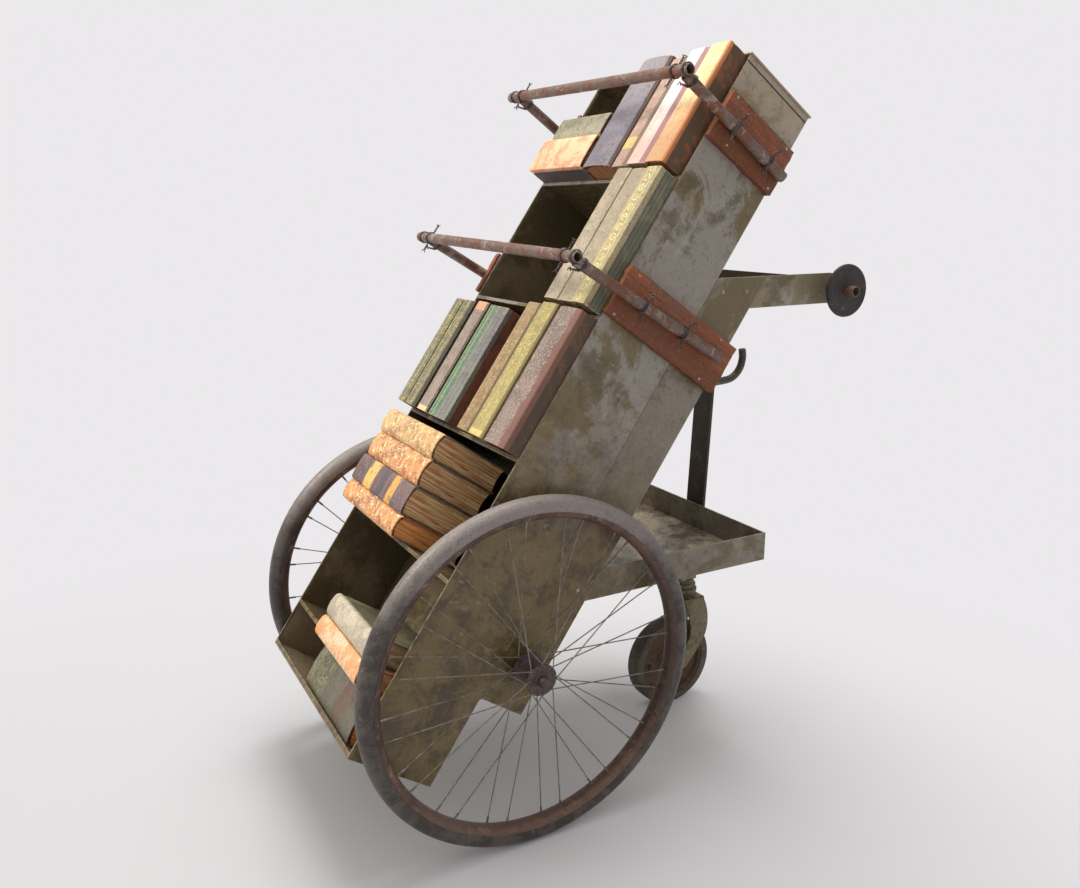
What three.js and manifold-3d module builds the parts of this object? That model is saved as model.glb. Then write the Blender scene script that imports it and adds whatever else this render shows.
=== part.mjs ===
// Book cart: a tall open sheet-steel bookcase leaning back on a two-wheeled frame with a rear caster.
// Millimetres, +Z up, +X towards the near wheel, the open front of the case faces -Y.
import * as THREE from "three";
import { mergeVertices } from "three/addons/utils/BufferGeometryUtils.js";
import Module from "manifold-3d";

const wasm = await Module();
wasm.setup();

// ---------- driving dimensions ----------
const GAP = 0.3; // clearance between neighbouring pieces

const wheel = { radius: 332, planeX: 294.6, rimOuter: 309, rimInner: 291, tyreHalfWidth: 19 };
const hub = { half: 31.5, barrel: 17, flange: 30, flangeAt: 26, flangeThick: 3.5, bore: 8.4 };
const axleRadius = 8;
const axleEnd = 338;
const spoke = { side: 2.4, perFlange: 16, pitch: 22.5, phase: 6.3, pairHalf: 3.9, lead: 45 };

const lean = THREE.MathUtils.degToRad(34.8); // case leans back from upright
const caseFoot = { y: -337, z: 243 }; // lower front edge of the case
const box = { halfWidth: 253, height: 1414, depth: 178, sheet: 3, lip: 10 };
const shelfHeights = [107, 342, 582, 869, 1159];
const shelfSheet = 2;
const shelfLip = 7;
const topOverhang = 3;

const spine = { outerX: 250, thick: 4, bottom: 178, front: 178.4, rear: 279.5, topZ: 1011.5 };
const arm = { thick: 4, bottomZ: 951.5, frontY: 426, endRadius: 30 };
const handle = { y: 708, z: 979, radius: 11, wall: 2.6, halfLength: 316 };
const disc = { radius: 52, thick: 10, innerX: 285, bore: 11.4, edge: 2 };
const crossPlate = { y: 598, thick: 3 };

const tray = { halfWidth: 245.6, frontY: 64, rearY: 573, floorZ: 425, rimZ: 484, sheet: 3 };
const post = { halfWidth: 30, thick: 6, footY: 577, footZ: 428, headY: 607.3, headZ: 1000 };
const hookRadius = 8.5;
const hookPath = [[601.2, 759], [639, 759], [673, 764], [694, 782], [702, 806], [700, 828]];

const board = { thick: 14, upper: [1240, 1338, -4, 181], lower: [875, 975, -7, 289] };
const pipe = { radius: 10.65, bore: 8 };
const rails = {
  upper: { cross: 1283, nearReach: 118, farReach: 140, rearHeight: 1278, rearDepth: 176 },
  lower: { cross: 912, nearReach: 124, farReach: 156, rearHeight: 937, rearDepth: 254 },
};
const crossRail = { nearX: 302, farX: -313 };

const caster = { swivelY: 556, wheelY: 517, radius: 104, coreRadius: 84, tyreHalf: 20 };
const casterHub = { half: 30, radius: 17, bore: 6.4, web: 7, rimHalf: 18 };
const fork = { legInner: 33, legThick: 5, crownZ: 256, crownThick: 6, bossRadius: 26, bossTop: 269.7 };
const collar = { radius: 30, bottomZ: 270, topZ: 302.4 };
const riser = { half: 20, wall: 3 };
const casterAxle = { radius: 6, headRadius: 10, headThick: 6 };

// Books, each as [x0, x1, height0, height1, front depth, back depth] in case coordinates.
const books = {
  book_great_volume: [[-50, 205, 3.4, 99, 3.4, 168]],
  book_orange: [[-24, 214, 107.4, 148, -44, 132]],
  book_cream: [[-26, 186, 148.4, 195, -42, 128]],
  books_stacked: [
    [-249, 48, 342.4, 388, -44, 120],
    [-249, 42, 387.8, 447, -46, 124],
    [-249, 32, 446.8, 506, -43, 118],
    [-249, 32, 505.8, 557, -46, 120],
  ],
  books_standing_far: [
    [-249, -213, 582.4, 836, -42, 122],
    [-213.2, -158, 582.4, 837, -40, 120],
    [-158.2, -138, 582.4, 830, 10, 120],
    [-138.2, -87, 582.4, 838, -43, 125],
    [-87.2, -50, 582.4, 837, -38, 120],
    [-50.2, -1.2, 582.4, 836, -40, 124],
  ],
  books_standing_near: [
    [58, 113, 582.4, 857, -40, 124],
    [112.8, 171, 582.4, 861, -42, 120],
    [170.8, 249, 582.4, 860, -40, 128],
  ],
  books_middle: [
    [109, 156, 869.4, 1149, -44, 122],
    [155.8, 203, 869.4, 1148, -42, 124],
    [202.8, 249, 869.4, 1149, -44, 128],
  ],
  book_salmon: [[-249, -36, 1159.4, 1238, -48, 118]],
  book_olive: [[-226, -36, 1238.4, 1290, -46, 112]],
  books_top: [
    [-35.6, 69, 1159.4, 1412, -46, 110],
    [68.8, 125, 1159.4, 1404, -38, 108],
    [124.8, 184, 1159.4, 1411, -43, 112],
    [183.8, 243, 1159.4, 1412, -45, 118],
  ],
};

// ---------- colours ----------
const colours = {
  case: "#787064", board: "#82492f", pipe: "#7d6a60", tyre: "#46443f", rim: "#5f4638", steel: "#6b675f",
  book: "#a8793f", fork: "#5f5d4e", disc: "#3e3a36",
};

// ---------- helpers ----------
const root = new THREE.Group();
const turnYtoX = new THREE.Matrix4().makeRotationZ(-Math.PI / 2);
const caseMatrix = new THREE.Matrix4()
  .makeTranslation(0, caseFoot.y, caseFoot.z)
  .multiply(new THREE.Matrix4().makeRotationX(-lean));

function add(name, geometry, colour) {
  const material = new THREE.MeshStandardMaterial({ color: colours[colour] });
  const mesh = new THREE.Mesh(geometry, material);
  mesh.name = name;
  root.add(mesh);
}

// Position-only, indexed copy of a geometry.
function weld(geometry) {
  const bare = new THREE.BufferGeometry();
  bare.setAttribute("position", geometry.getAttribute("position"));
  if (geometry.index) bare.setIndex(geometry.index);
  return mergeVertices(bare, 1e-4);
}

function toSolid(geometry) {
  const welded = weld(geometry);
  const vertProperties = Float32Array.from(welded.getAttribute("position").array);
  const triVerts = Uint32Array.from(welded.index.array);
  return new wasm.Manifold(new wasm.Mesh({ numProp: 3, vertProperties, triVerts }));
}

function toGeometry(solid) {
  const mesh = solid.getMesh();
  const geometry = new THREE.BufferGeometry();
  geometry.setAttribute("position", new THREE.BufferAttribute(Float32Array.from(mesh.vertProperties), 3));
  geometry.setIndex(Array.from(mesh.triVerts));
  return geometry;
}

function union(geometries, tolerance = 0) {
  const joined = wasm.Manifold.union(geometries.map(toSolid));
  return toGeometry(tolerance > 0 ? joined.simplify(tolerance) : joined);
}

function subtract(body, cutter) {
  return toGeometry(toSolid(body).subtract(toSolid(cutter)));
}

function block(x0, x1, y0, y1, z0, z1) {
  const geometry = new THREE.BoxGeometry(x1 - x0, y1 - y0, z1 - z0);
  return geometry.translate((x0 + x1) / 2, (y0 + y1) / 2, (z0 + z1) / 2);
}

// Block in case coordinates: width x, height up the case, depth from the open front to the back.
function caseBlock(x0, x1, low, high, front, back) {
  return block(x0, x1, front, back, low, high);
}

function inCase(geometry) {
  return geometry.applyMatrix4(caseMatrix);
}

function casePoint(x, height, depth) {
  return new THREE.Vector3(x, depth, height).applyMatrix4(caseMatrix);
}

// Plate lying in a side plane: an outline of [y, z] points, thick in +X from x0.
function sidePlate(outline, x0, thick) {
  const shape = new THREE.Shape(outline.map(([y, z]) => new THREE.Vector2(y, z)));
  const plate = new THREE.ExtrudeGeometry(shape, { depth: thick, bevelEnabled: false });
  const basis = new THREE.Matrix4().makeBasis(
    new THREE.Vector3(0, 1, 0), new THREE.Vector3(0, 0, 1), new THREE.Vector3(1, 0, 0));
  return plate.applyMatrix4(basis).translate(x0, 0, 0);
}

// Round hole along X through a body.
function drilled(body, y, z, radius) {
  const length = 3 * box.halfWidth;
  const cutter = new THREE.CylinderGeometry(radius, radius, length, 20).applyMatrix4(turnYtoX);
  return subtract(body, cutter.translate(0, y, z));
}

// Ring or solid turned about the X axis from [radius, x] points.
function turned(profile, segments) {
  const lathe = new THREE.LatheGeometry(profile.map(([r, a]) => new THREE.Vector2(r, a)), segments);
  return lathe.applyMatrix4(turnYtoX);
}

function pipeBetween(start, end, radius, bore) {
  const length = start.distanceTo(end);
  const profile = [[bore, 0], [radius, 0], [radius, length], [bore, length], [bore, 0]];
  const lathe = new THREE.LatheGeometry(profile.map(([r, a]) => new THREE.Vector2(r, a)), 16);
  const direction = end.clone().sub(start).normalize();
  lathe.applyQuaternion(new THREE.Quaternion().setFromUnitVectors(new THREE.Vector3(0, 1, 0), direction));
  return lathe.translate(start.x, start.y, start.z);
}

function squareBar(start, end, side) {
  const length = start.distanceTo(end);
  const bar = new THREE.BoxGeometry(side, length, side).translate(0, length / 2, 0);
  const direction = end.clone().sub(start).normalize();
  bar.applyQuaternion(new THREE.Quaternion().setFromUnitVectors(new THREE.Vector3(0, 1, 0), direction));
  return bar.translate(start.x, start.y, start.z);
}

// Mirrored copy across the middle plane, with the faces turned back outwards.
function mirrored(geometry) {
  const copy = weld(geometry).scale(-1, 1, 1);
  const index = Array.from(copy.index.array);
  for (let i = 0; i < index.length; i += 3) {
    [index[i + 1], index[i + 2]] = [index[i + 2], index[i + 1]];
  }
  copy.setIndex(index);
  return copy;
}

function addPair(stem, geometry, colour) {
  add(`${stem}_near`, geometry, colour);
  add(`${stem}_far`, mirrored(geometry), colour);
}

// ---------- bookcase ----------
const innerX = box.halfWidth - box.sheet - GAP;

function sidePanel() {
  return inCase(caseBlock(box.halfWidth - box.sheet, box.halfWidth, 0, box.height, 0, box.depth));
}

function backPanel() {
  return inCase(caseBlock(-innerX, innerX, 0, box.height, box.depth - box.sheet, box.depth));
}

function topPanel() {
  const edge = box.halfWidth + topOverhang;
  const low = box.height + GAP;
  return inCase(caseBlock(-edge, edge, low, low + box.sheet, -topOverhang, box.depth + topOverhang));
}

// Flat sheet between the sides with a lip along its front edge.
function lippedSheet(low, high, lipLow, lipHigh) {
  const sheet = caseBlock(-innerX, innerX, low, high, 0, box.depth - box.sheet - GAP);
  const lip = caseBlock(-innerX, innerX, lipLow, lipHigh, 0, box.sheet);
  return inCase(union([sheet, lip]));
}

function buildCase() {
  addPair("side_panel", sidePanel(), "case");
  add("back_panel", backPanel(), "case");
  add("top_panel", topPanel(), "case");
  add("bottom_panel", lippedSheet(0, box.sheet, 0, box.lip), "case");
  shelfHeights.forEach((height, i) => {
    add(`shelf_${i + 1}`, lippedSheet(height - shelfSheet, height, height - shelfLip, height), "case");
  });
}

// ---------- frame behind the case ----------
function spinePlate() {
  const low = casePoint(0, spine.bottom, spine.front);
  const lowRear = casePoint(0, spine.bottom, spine.rear);
  const slope = Math.tan(lean);
  const rearTopY = lowRear.y + (spine.topZ - lowRear.z) * slope;
  const frontTopY = low.y + (spine.topZ - low.z) * slope;
  const outline = [[low.y, low.z], [lowRear.y, lowRear.z], [rearTopY, spine.topZ], [frontTopY, spine.topZ]];
  const plate = sidePlate(outline, spine.outerX - spine.thick, spine.thick);
  return drilled(plate, 0, wheel.radius, axleRadius + GAP);
}

function handleArm() {
  const outline = [[arm.frontY, arm.bottomZ], [handle.y, arm.bottomZ]];
  const middleZ = (arm.bottomZ + spine.topZ) / 2;
  for (let i = 1; i < 10; i += 1) {
    const angle = -Math.PI / 2 + (i * Math.PI) / 10;
    outline.push([handle.y + arm.endRadius * Math.cos(angle), middleZ + arm.endRadius * Math.sin(angle)]);
  }
  outline.push([handle.y, spine.topZ], [arm.frontY, spine.topZ]);
  const x0 = spine.outerX - spine.thick - GAP - arm.thick;
  return drilled(sidePlate(outline, x0, arm.thick), handle.y, handle.z, handle.radius + GAP);
}

function handleDisc() {
  const outer = disc.innerX + disc.thick;
  const profile = [
    [disc.bore, disc.innerX], [disc.radius - disc.edge, disc.innerX],
    [disc.radius, disc.innerX + disc.edge], [disc.radius, outer - disc.edge],
    [disc.radius - disc.edge, outer], [disc.bore, outer], [disc.bore, disc.innerX],
  ];
  return turned(profile, 32).translate(0, handle.y, handle.z);
}

function handleTube() {
  const start = new THREE.Vector3(-handle.halfLength, handle.y, handle.z);
  const end = new THREE.Vector3(handle.halfLength, handle.y, handle.z);
  return pipeBetween(start, end, handle.radius, handle.radius - handle.wall);
}

function armCrossPlate() {
  const halfWidth = spine.outerX - spine.thick - 2 * GAP - arm.thick;
  const rearY = crossPlate.y + crossPlate.thick;
  return block(-halfWidth, halfWidth, crossPlate.y, rearY, arm.bottomZ, spine.topZ);
}

function trayTub() {
  const w = tray.halfWidth;
  const s = tray.sheet;
  const outer = block(-w, w, tray.frontY, tray.rearY, tray.floorZ, tray.rimZ);
  const inner = block(-w + s, w - s, tray.frontY + s, tray.rearY - s, tray.floorZ + s, tray.rimZ + s);
  return subtract(outer, inner);
}

function rearPost() {
  const outline = [
    [post.footY, post.footZ], [post.footY + post.thick, post.footZ],
    [post.headY + post.thick, post.headZ], [post.headY, post.headZ],
  ];
  return sidePlate(outline, -post.halfWidth, 2 * post.halfWidth);
}

function hook() {
  const curve = new THREE.CatmullRomCurve3(hookPath.map(([y, z]) => new THREE.Vector3(0, y, z)));
  const circle = new THREE.Shape();
  circle.absarc(0, 0, hookRadius, 0, 2 * Math.PI, false);
  const options = { steps: 12, curveSegments: 6, bevelEnabled: false, extrudePath: curve };
  return new THREE.ExtrudeGeometry(circle, options);
}

function buildFrame() {
  addPair("spine_plate", spinePlate(), "case");
  addPair("handle_arm", handleArm(), "case");
  addPair("handle_disc", handleDisc(), "disc");
  add("handle_tube", handleTube(), "pipe");
  add("arm_cross_plate", armCrossPlate(), "case");
  add("tray", trayTub(), "case");
  add("rear_post", rearPost(), "steel");
  add("hook", hook(), "steel");
}

// ---------- wooden boards and pipe rails ----------
function sideBoard([low, high, front, back]) {
  const x0 = box.halfWidth + GAP;
  return inCase(caseBlock(x0, x0 + board.thick, low, high, front, back));
}

function buildRail(stem, rail) {
  const sideX = box.halfWidth + 2 * GAP + board.thick + pipe.radius;
  const slope = (rail.nearReach - rail.farReach) / (2 * sideX);
  const middle = -(rail.nearReach + rail.farReach) / 2;
  const crossDepth = (x) => middle - slope * x;
  const crossNear = casePoint(crossRail.nearX, rail.cross, crossDepth(crossRail.nearX));
  const crossFar = casePoint(crossRail.farX, rail.cross, crossDepth(crossRail.farX));
  add(`${stem}_cross`, pipeBetween(crossFar, crossNear, pipe.radius, pipe.bore), "pipe");
  for (const [side, x] of [["near", sideX], ["far", -sideX]]) {
    const front = crossDepth(x) + pipe.radius + 2 * GAP;
    const start = casePoint(x, rail.cross, front);
    const end = casePoint(x, rail.rearHeight, rail.rearDepth);
    add(`${stem}_side_${side}`, pipeBetween(start, end, pipe.radius, pipe.bore), "pipe");
  }
}

function buildRails() {
  addPair("board_upper", sideBoard(board.upper), "board");
  addPair("board_lower", sideBoard(board.lower), "board");
  buildRail("rail_upper", rails.upper);
  buildRail("rail_lower", rails.lower);
}

// ---------- big wheels ----------
function wheelHub() {
  const { half, barrel, flange, flangeAt, flangeThick, bore } = hub;
  const profile = [[bore, -half], [barrel, -half]];
  for (const side of [-flangeAt, flangeAt]) {
    const [a, b] = [side - flangeThick / 2, side + flangeThick / 2];
    profile.push([barrel, a], [flange, a], [flange, b], [barrel, b]);
  }
  profile.push([barrel, half], [bore, half], [bore, -half]);
  return turned(profile, 20);
}

function wheelRim() {
  const { rimInner, rimOuter } = wheel;
  const profile = [
    [rimInner, -8], [rimInner + 5, -15], [rimOuter, -15.5], [rimOuter, 15.5], [rimInner + 5, 15],
    [rimInner, 8], [rimInner, -8],
  ];
  return turned(profile, 56);
}

function wheelTyre() {
  const seat = wheel.rimOuter + GAP;
  const tread = wheel.radius;
  const w = wheel.tyreHalfWidth;
  const profile = [
    [seat, -15], [seat + 7, -w], [tread - 7, -w + 4], [tread - 1.5, -w + 11], [tread, 0],
    [tread - 1.5, w - 11], [tread - 7, w - 4], [seat + 7, w], [seat, 15], [seat, -15],
  ];
  return turned(profile, 56);
}

function onWheel(x, radius, degrees) {
  const angle = THREE.MathUtils.degToRad(degrees);
  return new THREE.Vector3(x, radius * Math.cos(angle), radius * Math.sin(angle));
}

// One flange's spokes: leading and trailing spokes cross each other and join where they cross.
function spokeSet(side) {
  const flangeX = side * (hub.flangeAt + hub.flangeThick / 2 + GAP + spoke.side);
  const bars = [];
  for (let k = 0; k < spoke.perFlange; k += 1) {
    const rimAngle = spoke.phase + spoke.pitch * k + side * spoke.pairHalf;
    const hubAngle = rimAngle + (k % 2 === 0 ? spoke.lead : -spoke.lead);
    const inner = onWheel(flangeX, hub.flange - 5, hubAngle);
    const outer = onWheel(side * 2, wheel.rimInner - 2, rimAngle);
    bars.push(squareBar(inner, outer, spoke.side));
  }
  return union(bars, spoke.side / 10);
}

function wheelAxle() {
  const faceX = wheel.planeX + hub.half + GAP;
  const profile = [
    [0, -axleEnd], [7, -axleEnd], [11, -axleEnd + 3], [11, -faceX], [axleRadius, -faceX],
    [axleRadius, faceX], [11, faceX], [11, axleEnd - 3], [7, axleEnd], [0, axleEnd],
  ];
  return turned(profile, 18).translate(0, 0, wheel.radius);
}

function buildWheels() {
  const pieces = [
    ["hub", wheelHub(), "steel"], ["rim", wheelRim(), "rim"], ["tyre", wheelTyre(), "tyre"],
    ["spokes_outer", spokeSet(1), "steel"], ["spokes_inner", spokeSet(-1), "steel"],
  ];
  for (const [stem, geometry, colour] of pieces) {
    addPair(`wheel_${stem}`, geometry.translate(wheel.planeX, 0, wheel.radius), colour);
  }
  add("wheel_axle", wheelAxle(), "steel");
}

// ---------- rear caster ----------
function riserTube() {
  const h = riser.half;
  const top = tray.floorZ - GAP;
  const bottom = collar.topZ + GAP;
  const outer = block(-h, h, caster.swivelY - h, caster.swivelY + h, bottom, top);
  const i = h - riser.wall;
  const inner = block(-i, i, caster.swivelY - i, caster.swivelY + i, bottom - 1, top + 1);
  return subtract(outer, inner);
}

function swivelCollar() {
  const { radius, bottomZ, topZ } = collar;
  const profile = [
    [0, bottomZ], [radius - 3, bottomZ], [radius, bottomZ + 3], [radius, bottomZ + 14],
    [radius - 5, bottomZ + 17], [radius - 5, topZ], [0, topZ],
  ];
  const lathe = new THREE.LatheGeometry(profile.map(([r, z]) => new THREE.Vector2(r, z)), 24);
  return lathe.rotateX(Math.PI / 2);
}

// Curved leg that bulges behind the wheel and runs down to the axle.
function forkLegOutline() {
  const top = fork.crownZ + fork.crownThick;
  const rear = new THREE.SplineCurve([
    [586, top], [597, 232], [601, 205], [599, 178], [588, 150], [566, 122], [540, 92],
  ].map(([y, z]) => new THREE.Vector2(y, z)));
  const front = new THREE.SplineCurve([
    [504, 92], [500, 112], [516, 128], [535, 142], [550, 165], [552, 190], [545, 222], [532, top],
  ].map(([y, z]) => new THREE.Vector2(y, z)));
  return [...rear.getPoints(16), ...front.getPoints(16)].map((p) => [p.x, p.y]);
}

function casterFork() {
  const blank = sidePlate(forkLegOutline(), fork.legInner, fork.legThick);
  const leg = drilled(blank, caster.wheelY, caster.radius, casterAxle.radius + GAP);
  const edge = fork.legInner + fork.legThick;
  const crownTop = fork.crownZ + fork.crownThick;
  const crown = block(-edge, edge, 532, 586, fork.crownZ, crownTop);
  const boss = new THREE.CylinderGeometry(fork.bossRadius, fork.bossRadius, fork.bossTop - fork.crownZ, 24);
  boss.rotateX(Math.PI / 2).translate(0, caster.swivelY, (fork.bossTop + fork.crownZ) / 2);
  return union([leg, mirrored(leg), crown, boss]);
}

function casterCore() {
  const { half, radius, bore, web, rimHalf } = casterHub;
  const r = caster.coreRadius;
  const profile = [
    [bore, -half], [radius, -half], [radius + 3, -web], [r - 14, -web], [r - 10, -rimHalf], [r, -rimHalf],
    [r, rimHalf], [r - 10, rimHalf], [r - 14, web], [radius + 3, web], [radius, half], [bore, half],
    [bore, -half],
  ];
  return turned(profile, 32).translate(0, caster.wheelY, caster.radius);
}

function casterTyre() {
  const seat = caster.coreRadius + GAP;
  const { radius, tyreHalf } = caster;
  const profile = [
    [seat, -tyreHalf], [radius - 7, -tyreHalf], [radius - 2, -tyreHalf + 4], [radius, -tyreHalf + 10],
    [radius, tyreHalf - 10], [radius - 2, tyreHalf - 4], [radius - 7, tyreHalf], [seat, tyreHalf],
    [seat, -tyreHalf],
  ];
  return turned(profile, 32).translate(0, caster.wheelY, caster.radius);
}

function casterBolt() {
  const inner = fork.legInner + fork.legThick + GAP;
  const end = inner + casterAxle.headThick;
  const { radius, headRadius } = casterAxle;
  const profile = [
    [0, -end], [headRadius, -end], [headRadius, -inner], [radius, -inner],
    [radius, inner], [headRadius, inner], [headRadius, end], [0, end],
  ];
  return turned(profile, 16).translate(0, caster.wheelY, caster.radius);
}

function buildCaster() {
  add("caster_riser", riserTube(), "case");
  add("caster_collar", swivelCollar().translate(0, caster.swivelY, 0), "fork");
  add("caster_fork", casterFork(), "fork");
  add("caster_core", casterCore(), "rim");
  add("caster_tyre", casterTyre(), "tyre");
  add("caster_axle", casterBolt(), "steel");
}

// ---------- books ----------
function buildBooks() {
  for (const [name, volumes] of Object.entries(books)) {
    const geometries = volumes.map((volume) => caseBlock(...volume));
    add(name, inCase(geometries.length > 1 ? union(geometries) : geometries[0]), "book");
  }
}

buildCase();
buildFrame();
buildRails();
buildWheels();
buildCaster();
buildBooks();

// Origin under the middle of the whole cart, on the floor.
const bounds = new THREE.Box3().setFromObject(root);
const middle = bounds.getCenter(new THREE.Vector3());
for (const mesh of root.children) {
  mesh.geometry.translate(-middle.x, -middle.y, -bounds.min.z);
}

export default root;
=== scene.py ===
"""A leaning steel book cart on two spoked wheels and a rear caster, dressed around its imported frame.

Units are metres, +Z up, +X towards the near wheel, and the open front of the case faces -Y.
Case coordinates are (across, back, up): across is X, back runs into the case, up runs along its lean.
"""

import math

import bmesh
import bpy
from mathutils import Matrix, Vector, noise


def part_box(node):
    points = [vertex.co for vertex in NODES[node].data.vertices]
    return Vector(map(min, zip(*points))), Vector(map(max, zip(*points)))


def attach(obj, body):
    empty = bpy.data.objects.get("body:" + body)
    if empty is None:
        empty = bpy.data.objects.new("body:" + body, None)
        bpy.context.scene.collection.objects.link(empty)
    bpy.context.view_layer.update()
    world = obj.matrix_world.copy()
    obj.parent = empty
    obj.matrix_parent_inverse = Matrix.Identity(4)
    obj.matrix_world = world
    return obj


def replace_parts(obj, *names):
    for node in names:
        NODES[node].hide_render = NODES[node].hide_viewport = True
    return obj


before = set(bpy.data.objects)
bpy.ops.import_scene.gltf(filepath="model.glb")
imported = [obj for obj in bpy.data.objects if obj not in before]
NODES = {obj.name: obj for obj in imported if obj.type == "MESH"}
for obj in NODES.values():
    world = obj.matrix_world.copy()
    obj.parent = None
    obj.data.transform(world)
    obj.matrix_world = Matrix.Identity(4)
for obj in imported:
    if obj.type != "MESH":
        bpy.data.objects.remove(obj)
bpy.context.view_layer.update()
MM = 0.001
noise.seed_set(7)  # noise_vector follows this seed, so the dents come out the same each run

# ---------- driving dimensions ----------
LEAN = math.radians(34.8)
CASE_DEPTH = 0.178
CASE_HEIGHT = 1.414
PANEL_OUTER = 0.253
PANEL_INNER = 0.250
BOARD_FACE = 0.2673
BOARD_UPPER = (1.240, 1.338, -0.004, 0.181)
BOARD_LOWER = (0.875, 0.975, -0.007, 0.289)
BOARD_GAP = 0.0003

WHEEL_PLANE = 0.2946
SPOKES_PER_FLANGE = 16
SPOKE_PITCH = 22.5
SPOKE_PHASE = 6.3
SPOKE_PAIR_HALF = 3.9
SPOKE_LEAD = 45
SPOKE_RADIUS = 0.0011
FLANGE_AT = 0.026
FLANGE_RADIUS = 0.030
HUB_HALF = 0.0315
HUB_BORE = 0.0084
TYRE_SEAT = 0.2965
TYRE_HALF = 0.019
RIM_REACH = 0.292
PIPE_RADIUS = 0.01065
PIPE_BORE = 0.008
PIPE_DENT = 0.0004
WIRE_RADIUS = 0.0011
WIRE_WIND = PIPE_RADIUS + 0.0012

CASTER_HALF = 0.020
CASTER_TREAD = 0.020
CASTER_WEB = 0.007
BOLT_CIRCLE = 0.058
FORK_INNER = 0.033
FORK_OUTER = 0.038
FORK_TOP = 0.262
CROWN_THICK = 0.006

panel_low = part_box("side_panel_near")[0]
CASE_FOOT = Vector((0, panel_low.y, panel_low.z + CASE_DEPTH * math.sin(LEAN)))
CASE = Matrix.Translation(CASE_FOOT) @ Matrix.Rotation(-LEAN, 4, "X")
tyre_low, tyre_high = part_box("wheel_tyre_near")
WHEEL_CENTRE = Vector((WHEEL_PLANE, (tyre_low.y + tyre_high.y) / 2, (tyre_low.z + tyre_high.z) / 2))
WHEEL_RADIUS = (tyre_high.z - tyre_low.z) / 2


def middle(node):
    low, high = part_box(node)
    return (low + high) / 2


def in_case(across, back, up):
    return CASE @ Vector((across, back, up))


# ---------- materials ----------
def tint(red, green, blue):
    """A display colour from 0 to 255 as linear RGBA."""
    channels = []
    for value in (red, green, blue):
        share = value / 255
        channels.append(share / 12.92 if share <= 0.04045 else ((share + 0.055) / 1.055) ** 2.4)
    return (*channels, 1.0)


BACKDROP = tint(235, 233, 235)
HORIZON_LIGHT = 0.42
ZENITH_LIGHT = 0.80


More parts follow.
